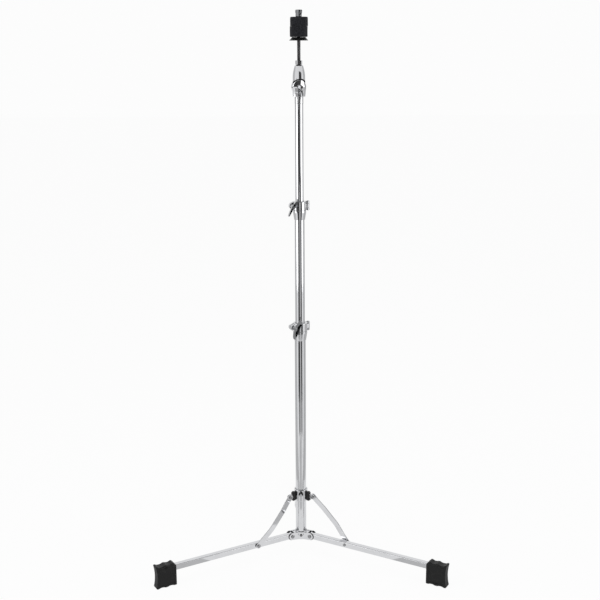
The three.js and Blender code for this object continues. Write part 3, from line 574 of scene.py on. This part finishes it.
# Brace collar, bumpers and struts
collar = Named(low=130, height=29, bore=13.08, radius=15.98, edge=1.2, pivotReach=31.5, pivotZ=143,
               earHalf=1.5, earRadius=6, earSink=1.5, earEdge=0.6, screwZ=150.5, boss=4.8,
               bossEnds=(13.9, 18.18), bossEdge=0.7)
bumper = Named(near=16.28, far=24.88, half=4.6, rise=11, edge=1.3, round=0.9, slantRun=4, slantRise=1.5,
               toe=0.8, toeRise=1, groove=1.5, grooveAt=3.6, grooveHalf=1.4, shoulder=2.5)
keyScrew = Named(half=3, round=0.7, ends=(-25.98, -19.5), rim=0.5, neck=3, neckEnds=(12.95, 20.48),
                 neckEdge=0.3, flange=3.2, flangeEnds=(18.45, 19.6))
keyWasher = Named(section=(3.3, 5.7, 18.35, 19.3), edge=0.3)  # its two radii and its two ends
strut = Named(lowReach=122, width=12.6, thick=2.5, edge=0.6, topSide=4.6, bendSide=10.5, elbowSide=15,
              lowSide=9.7, flatTop=9, flatLow=12, bendAt=0.27, elbowAt=0.635, fold=7)
# The pins and rivets lie along Y, and each pair of ends is where one of their lengths starts and stops.
strutPin = Named(shank=2.6, shankEnds=(-2.2, 6.6), head=4.4, spacerEnds=(1.8, 3.05), spacerEdge=0.3,
                 outerHead=(6.15, 7.65), innerHead=(-1.8, -3.3))
strutRivet = Named(shank=3, shankEnds=(6.65, 12.1), head=4.4, headEnds=(11.25, 12.85), washer=6,
                   washerEnds=(6.65, 8.15), washerEdge=0.5, tailShank=(-7.2, 4.45), tail=3.6,
                   tailHead=(-6.65, -7.85))
strutRun = strut.lowReach - collar.pivotReach
strutDrop = collar.pivotZ - leg.height
strutLength = math.hypot(strutRun, strutDrop)
strutSlope = math.atan2(strutDrop, strutRun)


def collarShells():
    # A ring spun about the mast, with a flat ear at each leg's heading and a round boss in front.
    radius = collar.radius
    ring = rectangle(collar.bore, radius, 0, collar.height)
    level = collar.pivotZ - collar.low
    ear = earOutline(radius - collar.earSink, level - collar.earRadius, level + collar.earRadius,
                     collar.pivotReach, level, collar.earRadius)
    ear = plate(ear, -collar.earHalf, collar.earHalf, collar.earEdge)
    boss = forward(disc(collar.boss, *collar.bossEnds, collar.bossEdge))
    shells = [hollow(ring, collar.edge, 96)] + [spun(ear, heading) for heading in headings.values()]
    return shells + [moved(boss, z=collar.screwZ - collar.low)]


def bumperOutline():
    # A block with a slanting foot, and two grooves across its outer side.
    near, far, rise = bumper.near, bumper.far, bumper.rise
    inner, outer = bumper.grooveAt - bumper.grooveHalf, bumper.grooveAt + bumper.grooveHalf
    foot = [[near, -rise + bumper.slantRise], [near + bumper.slantRun, -rise],
            [far - bumper.toe, -rise], [far, -rise + bumper.toeRise]]
    deep = far - bumper.groove
    grooves = [[far, -outer], [deep, -bumper.grooveAt], [far, -inner],
               [far, inner], [deep, bumper.grooveAt], [far, outer]]
    top = [[far, rise - bumper.shoulder], [far - bumper.shoulder, rise], [near, rise]]
    return rounded(foot + grooves + top, bumper.round)


def keyScrewShells():
    # A round neck and, past it, the square key, standing on its corner.
    half = keyScrew.half
    square = rounded(rectangle(-half, half, -half, half), keyScrew.round)
    key = square @ np.array([[1, 1], [-1, 1]]) / math.sqrt(2)
    neck = disc(keyScrew.neck, *keyScrew.neckEnds, keyScrew.neckEdge)
    flange = disc(keyScrew.flange, *keyScrew.flangeEnds)
    return [forward(neck), forward(flange), plate(key, *keyScrew.ends, keyScrew.rim)]


def strutShell():
    # A strap carried along X. Its offset to the side bends twice, and both ends are half circles.
    half = strut.width / 2
    bends = [[-half, strut.topSide], [strut.flatTop, strut.topSide],
             [strutLength * strut.bendAt, strut.bendSide],
             [strutLength * strut.elbowAt, strut.elbowSide],
             [strutLength - strut.flatLow, strut.lowSide], [strutLength + half, strut.lowSide]]
    route = rounded(bends, strut.fold, closed=False, steps=9)
    ends = half * np.cos(np.linspace(0, np.pi / 2, 12))
    x = np.concatenate([-ends, np.linspace(0, strutLength, 90)[1:-1], strutLength + ends[::-1]])
    side = np.interp(x, route[:, 0], route[:, 1])
    beyond = np.maximum(np.maximum(-x, x - strutLength), 0) / half
    width = np.sqrt(np.clip(1 - beyond ** 2, 0, 1))[:, None]
    thick = strut.thick / 2
    section = rounded(rectangle(-thick, thick, -half, half), strut.edge)
    along = x[:, None] + 0 * section[:, 0]
    across = side[:, None] + section[:, 0]
    up = section[:, 1] * width
    c, s = math.cos(strutSlope), math.sin(strutSlope)
    return np.stack([along * c + up * s, across, up * c - along * s], -1), True


def strutParts():
    # A strut and what lies along Y at both its ends: node name, shells, reach, height and look.
    pin, rivet = strutPin, strutRivet
    pinParts = [disc(pin.shank, *pin.shankEnds), disc(pin.head, *pin.spacerEnds, pin.spacerEdge),
                 button(pin.head, *pin.outerHead), button(pin.head, *pin.innerHead)]
    rivetParts = [disc(rivet.shank, *rivet.shankEnds), button(rivet.head, *rivet.headEnds)]
    washer = [disc(rivet.washer, *rivet.washerEnds, rivet.washerEdge)]
    tail = [disc(rivet.shank, *rivet.tailShank), button(rivet.tail, *rivet.tailHead)]
    top, low = (collar.pivotReach, collar.pivotZ), (strut.lowReach, leg.height)
    return [("strut_pin_", [alongY(shell) for shell in pinParts], *top, "rivet"),
            ("strut_", [strutShell()], *top, None),
            ("strut_rivet_", [alongY(shell) for shell in rivetParts], *low, "rivet"),
            ("strut_washer_", [alongY(shell) for shell in washer], *low, None),
            ("rivet_tail_", [alongY(shell) for shell in tail], *low, "rivet")]


piece("brace_collar", raised(collarShells(), collar.low))
piece("brace_collar_screw", raised(keyScrewShells(), collar.screwZ))
washer = hollow(rectangle(*keyWasher.section), keyWasher.edge)
trim("keyScrewWasher", "collar", raised([forward(washer)], collar.screwZ), "black_nylon")
for place, heading in headings.items():
    block = plate(bumperOutline(), -bumper.half, bumper.half, bumper.edge)
    piece("bumper_" + place, raised([block], collar.pivotZ, heading))
    for node, shells, away, height, look in strutParts():
        placed = [moved(shell, x=away) for shell in shells]
        piece(node + place, raised(placed, height, heading), look=look)
print("collar and struts made")

# Wing bolts: the blades as shares of half the span and of the depth, from the hub's foot to its top
wing = Named(start=6, depth=21, span=46, thick=4, tip=2.6, rim=0.6, curve=6, soften=3, hub=5, neck=3.9,
             length=22, shoulder=5, edge=0.9, endDrop=0.6, endIn=0.9, shank=3, shankIn=1, shankEdge=0.5)
wingSide = [[0, 0.14], [0.4, 0.08], [0.72, 0.22], [0.94, 0.47], [1, 0.74], [0.93, 0.96], [0.76, 0.98],
            [0.45, 0.7], [0.25, 0.6], [0, 0.58]]


def bladeShell(span, depth, sides=2):
    # A plate in X and Z whose thickness falls evenly from the hub to the tips.
    side = np.array(wingSide) * [span / 2, depth]
    other = side[1:-1][::-1] * [-1, 1] if sides == 2 else np.zeros((0, 2))
    outline = rounded(rounded(np.concatenate([side, other]), wing.curve), wing.soften)

    def thin(x):
        out = np.clip((np.abs(x) - wing.hub) / (span / 2 - wing.hub), 0, 1)
        return 1 - out * (1 - wing.tip / wing.thick)
    half = wing.thick / 2
    return plate(outline, -half, half, wing.rim, thin=thin)


def wingBoltShells(shank, span, sides=2):
    # A hub spun about Z that narrows to its end, its shank below, and the blades across it.
    hubLine = [[0, 0], [wing.hub, 0], [wing.hub, wing.shoulder],
               [wing.neck, wing.length - wing.endDrop],
               [wing.neck - wing.endIn, wing.length], [0, wing.length]]
    blade = moved(bladeShell(span, wing.depth, sides), z=wing.start)
    return [solid(hubLine, wing.edge, 48), disc(wing.shank, -shank, wing.shankIn, wing.shankEdge), blade]


# Tube clamps
clamp = Named(wall=3.8, gap=0.3, lipGap=0.68, skirt=-22, skirtWall=0.7, skirtEdge=0.5, shoulder=-5,
              seam=0.1, top=20, lip=2, split=0.6, bolt=6.4, ear=6, earRadius=7, earHeight=19, earFrom=108,
              earTo=252, earSink=0.2, earRound=0.8, earEdge=1.1, hinge=4, hingeGap=0.15, webSink=1.9,
              webEdge=0.3, gateShare=0.97, gateRise=0.6, nut=10, nutThick=4, past=1,
              wallRounds=(0.1, 0.1, 1.5, 0.4, 0.3, 0.3))  # the outer edge at the top is the third corner
hingePin = Named(shank=1.8, past=0.8, head=2.6, rise=1, gap=0.3)
clamps = {
    "lower": Named(outer=12.7, inner=11.1, height=552.3, turn=26, lean=66),
    "upper": Named(outer=11.1, inner=9.525, height=834.8, turn=8, lean=60),
}


def knuckleShells(hinge, radius, low, high, side):
    # One knuckle of the hinge, and the web that joins it to the wall on its own side of the split.
    web = sorted([side * clamp.split, side * clamp.hinge])
    return [moved(disc(clamp.hinge, low, high), x=hinge),
            slabBox(radius - clamp.webSink, hinge, web[0], web[1], low, high, clamp.webEdge)]


def clampShells(tube):
    # A split ring about the tube. Body and gate are one section, a little shorter on the gate, carried
    # round half a turn each, with an ear for the bolt on the left and a hinge on the right.
    bore = tube.outer + clamp.gap
    radius = tube.outer + clamp.wall
    lip = tube.inner + clamp.lipGap
    bolt = tube.outer + clamp.bolt
    hinge = radius + clamp.hinge
    top, seam, gap = clamp.top, clamp.seam, clamp.hingeGap
    middle = top / 2
    half = clamp.earHeight / 2
    split, earOut = clamp.split, clamp.split + clamp.ear
    skirt = hollow([[bore, clamp.skirt], [bore + clamp.skirtWall, clamp.skirt],
                    [radius, clamp.shoulder], [radius, seam], [bore, seam]], clamp.skirtEdge, 96)
    wall = [[bore, 0], [radius, 0], [radius, top], [lip, top], [lip, top - clamp.lip],
            [bore, top - clamp.lip]]
    section = rounded(wall, np.array(clamp.wallRounds), steps=5)
    gateSection = section * [1, clamp.gateShare] + [0, clamp.gateRise]
    openAngle = math.degrees(math.asin(split / radius))
    angle = np.radians(np.linspace(clamp.earFrom, clamp.earTo, 25))
    end = np.stack([-bolt + clamp.earRadius * np.cos(angle), clamp.earRadius * np.sin(angle)], -1)
    root = -bore - clamp.earSink
    ear = rounded(np.concatenate([[[root, -half], [root, half], [-radius, half]], end, [[-radius, -half]]]),
                  clamp.earRound)
    quarter = top / 4
    body = [skirt, sector(section, openAngle, 180 - openAngle),
            moved(plate(ear, split, earOut, clamp.earEdge), z=middle)]
    body += knuckleShells(hinge, radius, 0, quarter - gap, 1)
    body += knuckleShells(hinge, radius, top - quarter + gap, top, 1)
    gate = [sector(gateSection, 180 + openAngle, 360 - openAngle),
            moved(plate(ear, -earOut, -split, clamp.earEdge), z=middle)]
    gate += knuckleShells(hinge, radius, quarter + gap, top - quarter - gap, -1)
    low, rise = hingePin.gap, hingePin.gap + hingePin.rise
    pin = [button(hingePin.head, top + low, top + rise, 24),
           disc(hingePin.shank, -hingePin.past, top + hingePin.past),
           button(hingePin.head, -low, -rise, 24)]
    seat = earOut + clamp.gap
    nut = hexagon(clamp.nut, seat, seat + clamp.nutThick, np.pi / 6)
    shank = 2 * seat + clamp.nutThick + clamp.past
    wingBolt = [spun(shell, tube.lean) for shell in wingBoltShells(shank, wing.span)]
    return {"_clamp_body": body, "_clamp_gate": gate,
            "_clamp_pin": [moved(shell, x=hinge) for shell in pin],
            "_clamp_nut": [moved(alongY(nut), x=-bolt, z=middle)],
            "_wing_bolt": [moved(forward(shell), x=-bolt, y=-seat, z=middle) for shell in wingBolt]}


for level, tube in clamps.items():
    for part, shells in clampShells(tube).items():
        look = "wing" if part == "_wing_bolt" else None
        piece(level + part, raised(shells, tube.height, tube.turn), look=look)
print("clamps made")

# Tilter, about its pivot
tilter = Named(height=1107.3, turn=12, disc=15, discDeep=9, discEdge=0.9, bow=16.2, behind=0.12, cup=16,
               cupFoot=14, cupTop=-2, cupLow=-21, cupEdge=1.1, recess=17.4, neck=9.9, neckLow=-36, neckIn=1,
               neckEdge=0.6, plug=8.02, plugLow=-58, cheek=16.3, cheekFrom=0.45, cheekTo=8.6, cheekEdge=0.8,
               lap=0.05, arc=17.9, nutFace=8.1, nutFaceLap=1.5, bellLow=5, bellTop=47.4, passes=4)
# The bell's side as radius and height above the pivot, and how far each of its corners is rounded
bellSide = [[14, tilter.bellLow], [14, 24], [12.9, 33], [9.4, 45.7], [7.7, tilter.bellTop]]
bellRounds = [0.6, 7, 6, 1.4, 1.2]
# The black liner lies round the disc between two angles, as painted shade in the gap under the bell's arc.
# Its section is two radii and two depths.
discShadeLiner = Named(section=(15.1, 17.75, -0.4, -0.06), start=36, end=144)
lever = Named(length=41, shank=24.2, turn=271, gap=0.3)
tilterNut = Named(across=13, thick=5, gap=0.3)


def frontDepth(x):
    # The tilter's front is an upright barrel: its depth from the pivot falls off to both sides.
    bow = tilter.bow
    return np.minimum(0, bow - tilter.discDeep - np.sqrt(np.clip(bow ** 2 - x ** 2, 1, None)))


def circleHeight(radius, x, least=1):
    # The height at x of a circle about the pivot.
    return np.sqrt(np.clip(radius ** 2 - x ** 2, least, None))


def tilterBaseShells():
    # A cup in two halves, the stem below it, and the disc that the head turns on.
    low, top, foot, cup = tilter.cupLow, tilter.cupTop, tilter.cupFoot, tilter.cup
    # The last corner is four points in one place, and a row of points across the top follows instead.
    wallLine = rounded([[0, low], [foot, low], [cup, top], [0, top]], tilter.cupEdge, closed=False)[:-4]
    across = np.stack([np.linspace(1, 0, 14) * wallLine[-1][0], np.full(14, top)], -1)
    section = np.concatenate([wallLine, across])
    front = sector(section, 180, 360, 48)[0]
    # The cup's front lies a hair behind the disc's, so that the two never share a surface.
    front[..., 1] = np.maximum(front[..., 1], frontDepth(front[..., 0]) + tilter.behind)
    rear = sector(section, 0, 180, 48)[0]
    # Behind the disc, the cup is hollowed by a cylinder about the pivot, and the lowered rim keeps to
    # the wall: its reach is the wall's at that height. Each pass brings the two closer together.
    for settling in range(tilter.passes):
        hollowTop = -circleHeight(tilter.recess, rear[..., 0])
        rear[..., 2] = np.maximum(np.minimum(rear[..., 2], hollowTop), low)
        wall = np.interp(rear[..., 2], [low, top], [foot, cup])
        reach = np.maximum(np.hypot(rear[..., 0], rear[..., 1]), 0.01)
        rear[..., :2] *= np.minimum(1, wall / reach)[..., None]
    plugLow, neckLow, neckTop = tilter.plugLow, tilter.neckLow, low + tilter.neckIn
    stem = [[0, plugLow], [tilter.plug, plugLow], [tilter.plug, neckLow],
            [tilter.neck, neckLow], [tilter.neck, neckTop], [0, neckTop]]
    deep = tilter.discDeep
    # Rings inside the disc's face let it follow the barrel.
    rings = alongY(solid(rectangle(0, tilter.disc, -deep, 0), tilter.discEdge))[0]
    reaches = np.linspace(0, 1, 14)[:-1, None, None]
    rings = np.concatenate([rings[1:2] * reaches + rings[:1] * (1 - reaches), rings[1:]])
    rings[..., 1] = np.maximum(rings[..., 1], frontDepth(rings[..., 0]))
    return [(front, True), (rear, True), solid(stem, tilter.neckEdge), (rings, False)]


def tilterHeadShells():
    # The bell in two halves, and the cheek that turns against the disc's back.
    low, behindDisc = tilter.bellLow, tilter.cheekFrom
    bell = [[0, low]] + bellSide + [[0, tilter.bellTop]]
    # The first corner is nine points in one place, and a row of points under the bell stands for it.
    outer = rounded(bell, np.array([0] + bellRounds + [0]), closed=False, steps=9)[9:]
    under = np.stack([np.linspace(0, outer[0][0], 12)[:-1], np.full(11, float(low))], -1)
    section = np.concatenate([under, outer])
    # The rear half keeps clear of the disc's back, and the front half reaches a little into it.
    rear = sector(section, 0, 180, 48)[0]
    rear[..., 1] = np.maximum(rear[..., 1], behindDisc)
    # Behind the cheek a round face about the pivot clears the nut: the height follows that circle.
    behind = rear[..., 1] > tilter.cheekTo - tilter.nutFaceLap
    clear = np.maximum(rear[..., 2], circleHeight(tilter.nutFace, rear[..., 0], 0))
    rear[..., 2] = np.where(behind, clear, rear[..., 2])
    front = sector(section, 180, 360, 48)[0]
    front[..., 2] = np.maximum(front[..., 2], circleHeight(tilter.arc, front[..., 0]))
    # The front half's back plane takes every point that isn't in front of the pivot, within rounding.
    front[..., 1] = np.where(front[..., 1] > -1e-6, behindDisc + tilter.lap, front[..., 1])
    cheek = rectangle(0, tilter.cheek, behindDisc, tilter.cheekTo)
    return [(rear, True), (front, True), alongY(solid(cheek, tilter.cheekEdge))]


def threaded(low, high, radius, pitch, deep, sides=32):
    # A screw thread: the radius falls and rises evenly once each pitch, and the start moves round with it.
    z = np.arange(low, high, pitch / 5)[:, None]
    angle = np.linspace(0, 2 * np.pi, sides, endpoint=False)[None]
    phase = (z / pitch - angle / (2 * np.pi)) % 1
    reach = radius - deep * np.abs(2 * phase - 1)
    grid = around(reach, angle, z)
    point = np.array([[[0, 0, 1.0]]]) * np.ones((1, sides, 1))
    return np.concatenate([point * low, grid, point * high]), False


# The cymbal rod and what it carries, by height above the tilter's pivot
rod = Named(foot=22.7, top=161.1, radius=4, pitch=1.25, deep=0.55)
lockNut = Named(across=14, gap=0.3, thick=9)
feltSeat = Named(bore=4.3, radius=20.4, low=98.7, rim=0.8, topRadius=14.8, top=105.9, edge=0.45)
felt = Named(bore=7, radius=19.5, edge=0.6, sideGap=0.2, dentedFrom=12, dent=0.004, inward=2.4,
             waves=(2, 3, 5, 9, 14, 23, 37), climb=0.4)
felts = {
    "lower_felt": Named(foot=106.2, height=22.7, shift=0.0, seed=4, rounds=(2.6, 0.8)),
    "upper_felt": Named(foot=129.2, height=19.4, shift=0.7, seed=9, rounds=(0.8, 2.8)),
}
topNut = Named(foot=148.9, bore=4.3, radius=6.8, height=14.6, edge=0.9, span=36, depth=12.1, rise=2.5,
               turn=100)


def feltShell(made):
    # A ring of felt: a rounded box section, with slow dents from a few seeded waves round and up it.
    wave = np.random.default_rng(made.seed)
    bore, radius, height = felt.bore, felt.radius, made.height
    low, high = made.rounds
    ring = rounded(rectangle(bore, radius, 0, height), np.array([felt.edge, low, high, felt.edge]), steps=9)
    # The outer side gets rows of its own, between the first two corners' nine points each and the rest.
    rows = np.linspace(low + felt.sideGap, height - high - felt.sideGap, 12)
    ring = np.concatenate([ring[:18], np.stack([np.full(12, radius), rows], -1), ring[18:]])
    grid, capped = turned(np.concatenate([ring, ring[:1]]), 160)
    angle = np.arctan2(grid[..., 1], grid[..., 0])
    dent = 0 * angle
    for count in felt.waves:
        start, climb = wave.uniform(0, 6.3), wave.uniform(-felt.climb, felt.climb)
        dent = dent + np.sin(count * angle + start + climb * grid[..., 2]) / count ** 0.7
    outer = np.hypot(grid[..., 0], grid[..., 1]) > felt.dentedFrom
    scale = 1 - felt.dent * (dent + felt.inward) * outer
    return grid * np.stack([scale, scale, np.ones_like(scale)], -1), capped


def seatShell():
    # A ring with a thin rim, whose top slopes in to the felt.
    bore, radius, low, top = feltSeat.bore, feltSeat.radius, feltSeat.low, feltSeat.top
    line = [[bore, low], [radius, low], [radius, low + feltSeat.rim], [feltSeat.topRadius, top],
            [bore, top]]
    return hollow(line, feltSeat.edge, 96)


def topNutShells():
    # A bored hub with a pair of blades across it.
    hubRing = hollow(rectangle(topNut.bore, topNut.radius, 0, topNut.height), topNut.edge)
    blades = moved(bladeShell(topNut.span, topNut.depth), z=topNut.rise)
    return [moved(spun(shell, topNut.turn), z=topNut.foot) for shell in (hubRing, blades)]


nutLow, lockLow = tilter.cheekTo + tilterNut.gap, tilter.bellTop + lockNut.gap
leverAt = -tilter.discDeep - lever.gap
carried = {
    "tilter_base": tilterBaseShells(),
    "tilter_head": tilterHeadShells(),
    "tilter_nut": [alongY(hexagon(tilterNut.across, nutLow, nutLow + tilterNut.thick, np.pi / 6))],
    "tilter_wing_bolt": [moved(forward(spun(shell, lever.turn)), y=leverAt)
                         for shell in wingBoltShells(lever.shank, lever.length, 1)],
    "rod_lock_nut": [hexagon(lockNut.across, lockLow, lockLow + lockNut.thick)],
    "cymbal_rod": [threaded(rod.foot, rod.top, rod.radius, rod.pitch, rod.deep)],
    "felt_seat": [seatShell()],
}
for node, made in felts.items():
    carried[node] = [moved(feltShell(made), x=made.shift, z=made.foot)]
carried["cymbal_wing_nut"] = topNutShells()
for node, shells in carried.items():
    look = {"cymbal_rod": "thread", "cymbal_wing_nut": "wing"}.get(node)
    piece(node, raised(shells, tilter.height, tilter.turn), look=look)
# A black ring round the disc paints the shade in the gap under the bell's arc.
ring = sector(rectangle(*discShadeLiner.section), discShadeLiner.start, discShadeLiner.end)
trim("tilterLiner", bodyOf["tilter_base"], raised([alongY(ring)], tilter.height, tilter.turn),
     "black_nylon")
print("tilter and cymbal rod made")

# What still shows of the model itself gets its finish by its slot.
for node, shown in frame["nodes"].items():
    shown.data.materials.clear()
    shown.data.materials.append(materials[slotOf[node]])

# The room: a pale floor, a white surround, and grey cards that only reflections see. Lengths are metres.
# Each card has two corners and a grey.
room = Named(floor=30.0, pale=0.8, veil=0.95, white=1.0, sky=0.975, ambient=0.45)
cards = {
    "leftCard": ((-2.23, -2.75, 0.0), (-0.23, -2.75, 0.52), 0.05),
    "middleCard": ((-0.23, -2.75, 0.0), (0.92, -2.75, 0.52), 0.6),
    "rightCard": ((0.92, -2.75, 0.0), (2.5, -2.75, 0.52), 0.035),
    "upperCard": ((-3.4, -2.75, 0.52), (1.24, -2.75, 0.9), 0.07),
    "tilterCard": ((-0.1, -2.75, 0.9), (2.7, -2.75, 2.2), 0.07),
    "cupLeftCard": ((-3.6, -2.75, 0.9), (-0.1, -2.75, 1.0), 0.42),
    "cupRightCard": ((2.7, -2.75, 0.9), (3.6, -2.75, 1.0), 0.42),
    "ceilingCard": ((-3.2, -2.6, 3.4), (3.2, 1.2, 3.4), 0.05),
    "strutFloorLeft": ((-0.5, -0.45, 0.003), (-0.16, -0.2, 0.003), 0.66),
    "strutFloorRight": ((0.16, -0.45, 0.003), (0.5, -0.2, 0.003), 0.66),
    "sideFloorLeft": ((-3.8, -0.4, 0.002), (-0.42, 4.5, 0.002), 0.64),
    "sideFloorRight": ((0.42, -0.4, 0.002), (3.8, 4.5, 0.002), 0.6),
    "sideCardLeft": ((-3.9, -0.6, 0.0), (-3.9, 4.5, 2.6), 0.66),
    "sideCardRight": ((3.9, -0.6, 0.0), (3.9, 4.5, 2.6), 0.62),
}
# Strips on the floor that fan out from the mast's foot: two angles, two distances and a grey
fans = {
    "farLeft": ((-40, -5), (1.15, 3.4), 0.06),
    "farMiddle": ((-5, 19), (1.15, 2.7), 0.6),
    "farRight": ((19, 43), (1.15, 3.5), 0.03),
    "halfLeft": ((-32, -5), (0.8, 1.15), 0.3),
    "halfMiddle": ((-5, 19), (0.8, 1.15), 0.6),
    "halfRight": ((19, 42), (0.8, 1.15), 0.34),
    "near": ((-20, 20), (0.25, 0.8), 0.64),
}
# Where each lamp stands, how high it is aimed, its size and power, and whether reflections show it.
# Each softbox is two lamps. Their lower ones are seen in reflections, and no other lamp is.
lamps = {
    "leftLow": ((-2.05, -1.3, 0.53), 0.53, (1.6, 0.87), 7.7, True),
    "leftHigh": ((-2.05, -1.3, 1.78), 0.9, (1.6, 1.63), 14.3, False),
    "rightLow": ((2.2, -1.1, 0.53), 0.53, (1.5, 0.87), 6.3, True),
    "rightHigh": ((2.2, -1.1, 1.78), 0.9, (1.5, 1.63), 11.7, False),
    "top": ((0.2, -0.6, 2.9), 0.6, (2.0, 2.0), 14, False),
}
lampAimY = -0.09
fanHeight = 0.003


def cornersOf(low, high):
    # A sheet between two corners. It lies flat where they are level, and stands otherwise.
    (x0, y0, z0), (x1, y1, z1) = low, high
    other = [(x1, y0, z0), (x0, y1, z1)] if z0 == z1 else [(x1, y1, z0), (x0, y0, z1)]
    return [low, other[0], high, other[1]]


def fanOf(turn, run):
    # The four corners at distance d and angle a from the mast: x = d sin a, y = -d cos a.
    first, last = (math.radians(angle) for angle in turn)
    ends = [(run[0], first), (run[1], first), (run[1], last), (run[0], last)]
    return [(away * math.sin(a), mastY / 1000 - away * math.cos(a), fanHeight) for away, a in ends]


def flatSheet(name, corners, material):
    # One face between four corners, which isn't part of the stand.
    mesh = bpy.data.meshes.new(name)
    mesh.from_pydata(corners, [], [(0, 1, 2, 3)])
    made = bpy.data.objects.new(name, mesh)
    bpy.context.scene.collection.objects.link(made)
    mesh.materials.append(material)
    return made


def sightOf(shader):
    # Two values: one where the ray comes from the camera, one where it comes off or through the object.
    path = shader.node("ShaderNodeLightPath")
    camera, glossy = shader.out(path, "Is Camera Ray"), shader.out(path, "Is Glossy Ray")
    return camera, glossy + shader.out(path, "Is Transmission Ray")


def floorMaterial():
    # Mostly a plain white where it is seen, with the matt grey that takes the shadow showing through.
    material = bpy.data.materials.new("paleFloor")
    shader = Shader(material)
    shader.tree.nodes.clear()
    camera, mirrored = sightOf(shader)
    grey = (room.pale,) * 3 + (1,)
    matte = shader.out(shader.node("ShaderNodeBsdfDiffuse", None, {"Color": grey}))
    glow = shader.out(shader.node("ShaderNodeEmission", None,
                                  {"Color": (1, 1, 1, 1), "Strength": room.white}))
    seen = (camera + mirrored) * room.veil
    mix = shader.node("ShaderNodeMixShader", None, {0: seen, 1: matte, 2: glow})
    shader.node("ShaderNodeOutputMaterial", None, {"Surface": shader.out(mix)})
    return material


def cardMaterial(name, grey):
    # A flat grey of its own light.
    material = bpy.data.materials.new(name)
    shader = Shader(material)
    shader.tree.nodes.clear()
    tone = (grey,) * 3 + (1,)
    glow = shader.out(shader.node("ShaderNodeEmission", None, {"Color": tone, "Strength": 1.0}))
    shader.node("ShaderNodeOutputMaterial", None, {"Surface": glow})
    return material


half = room.floor / 2
flatSheet("floor", cornersOf((-half, -half, 0), (half, half, 0)), floorMaterial())
sheets = {name: (cornersOf(low, high), grey) for name, (low, high, grey) in cards.items()}
sheets.update({name: (fanOf(turn, run), grey) for name, (turn, run, grey) in fans.items()})
for name, (corners, grey) in sheets.items():
    sheet = flatSheet(name, corners, cardMaterial(name, grey))
    sheet.visible_camera = sheet.visible_diffuse = sheet.visible_shadow = False
    sheet.visible_transmission = False
for name, (at, aim, size, power, reflected) in lamps.items():
    light = bpy.data.lights.new(name, "AREA")
    light.shape = "RECTANGLE"
    light.size, light.size_y = size
    light.energy = power
    made = bpy.data.objects.new(name, light)
    made.location = at
    made.rotation_euler = (Vector((0, lampAimY, aim)) - Vector(at)).to_track_quat("-Z", "Y").to_euler()
    made.visible_camera = False
    made.visible_glossy = reflected
    bpy.context.scene.collection.objects.link(made)

world = bpy.data.worlds.new("surround")
bpy.context.scene.world = world
surround = Shader(world)
surround.tree.nodes.clear()
camera, mirrored = sightOf(surround)
strength = camera * room.sky + mirrored + (1 - camera - mirrored) * room.ambient
background = surround.node("ShaderNodeBackground", None, {"Color": (1, 1, 1, 1), "Strength": strength})
surround.node("ShaderNodeOutputWorld", None, {"Surface": surround.out(background)})

# The camera stands in front of the mast, tips down and leans a hair, as the photograph's does.
view = Named(back=2360.85, height=1207.68, down=13.854, lean=-0.275, lens=63.32, sensor=36)
cameraData = bpy.data.cameras.new("camera")
cameraData.sensor_width = view.sensor
cameraData.lens = view.lens
cameraObject = bpy.data.objects.new("camera", cameraData)
tip = Matrix.Rotation(math.radians(90 - view.down), 4, "X")
lean = Matrix.Rotation(math.radians(view.lean), 4, "Z")
stand = Matrix.Translation((0, (mastY - view.back) / 1000, view.height / 1000))
cameraObject.matrix_world = stand @ tip @ lean
bpy.context.scene.collection.objects.link(cameraObject)
bpy.context.scene.camera = cameraObject
bpy.context.scene.view_settings.view_transform = "Standard"
print("room and camera made")

bpy.context.view_layer.update()
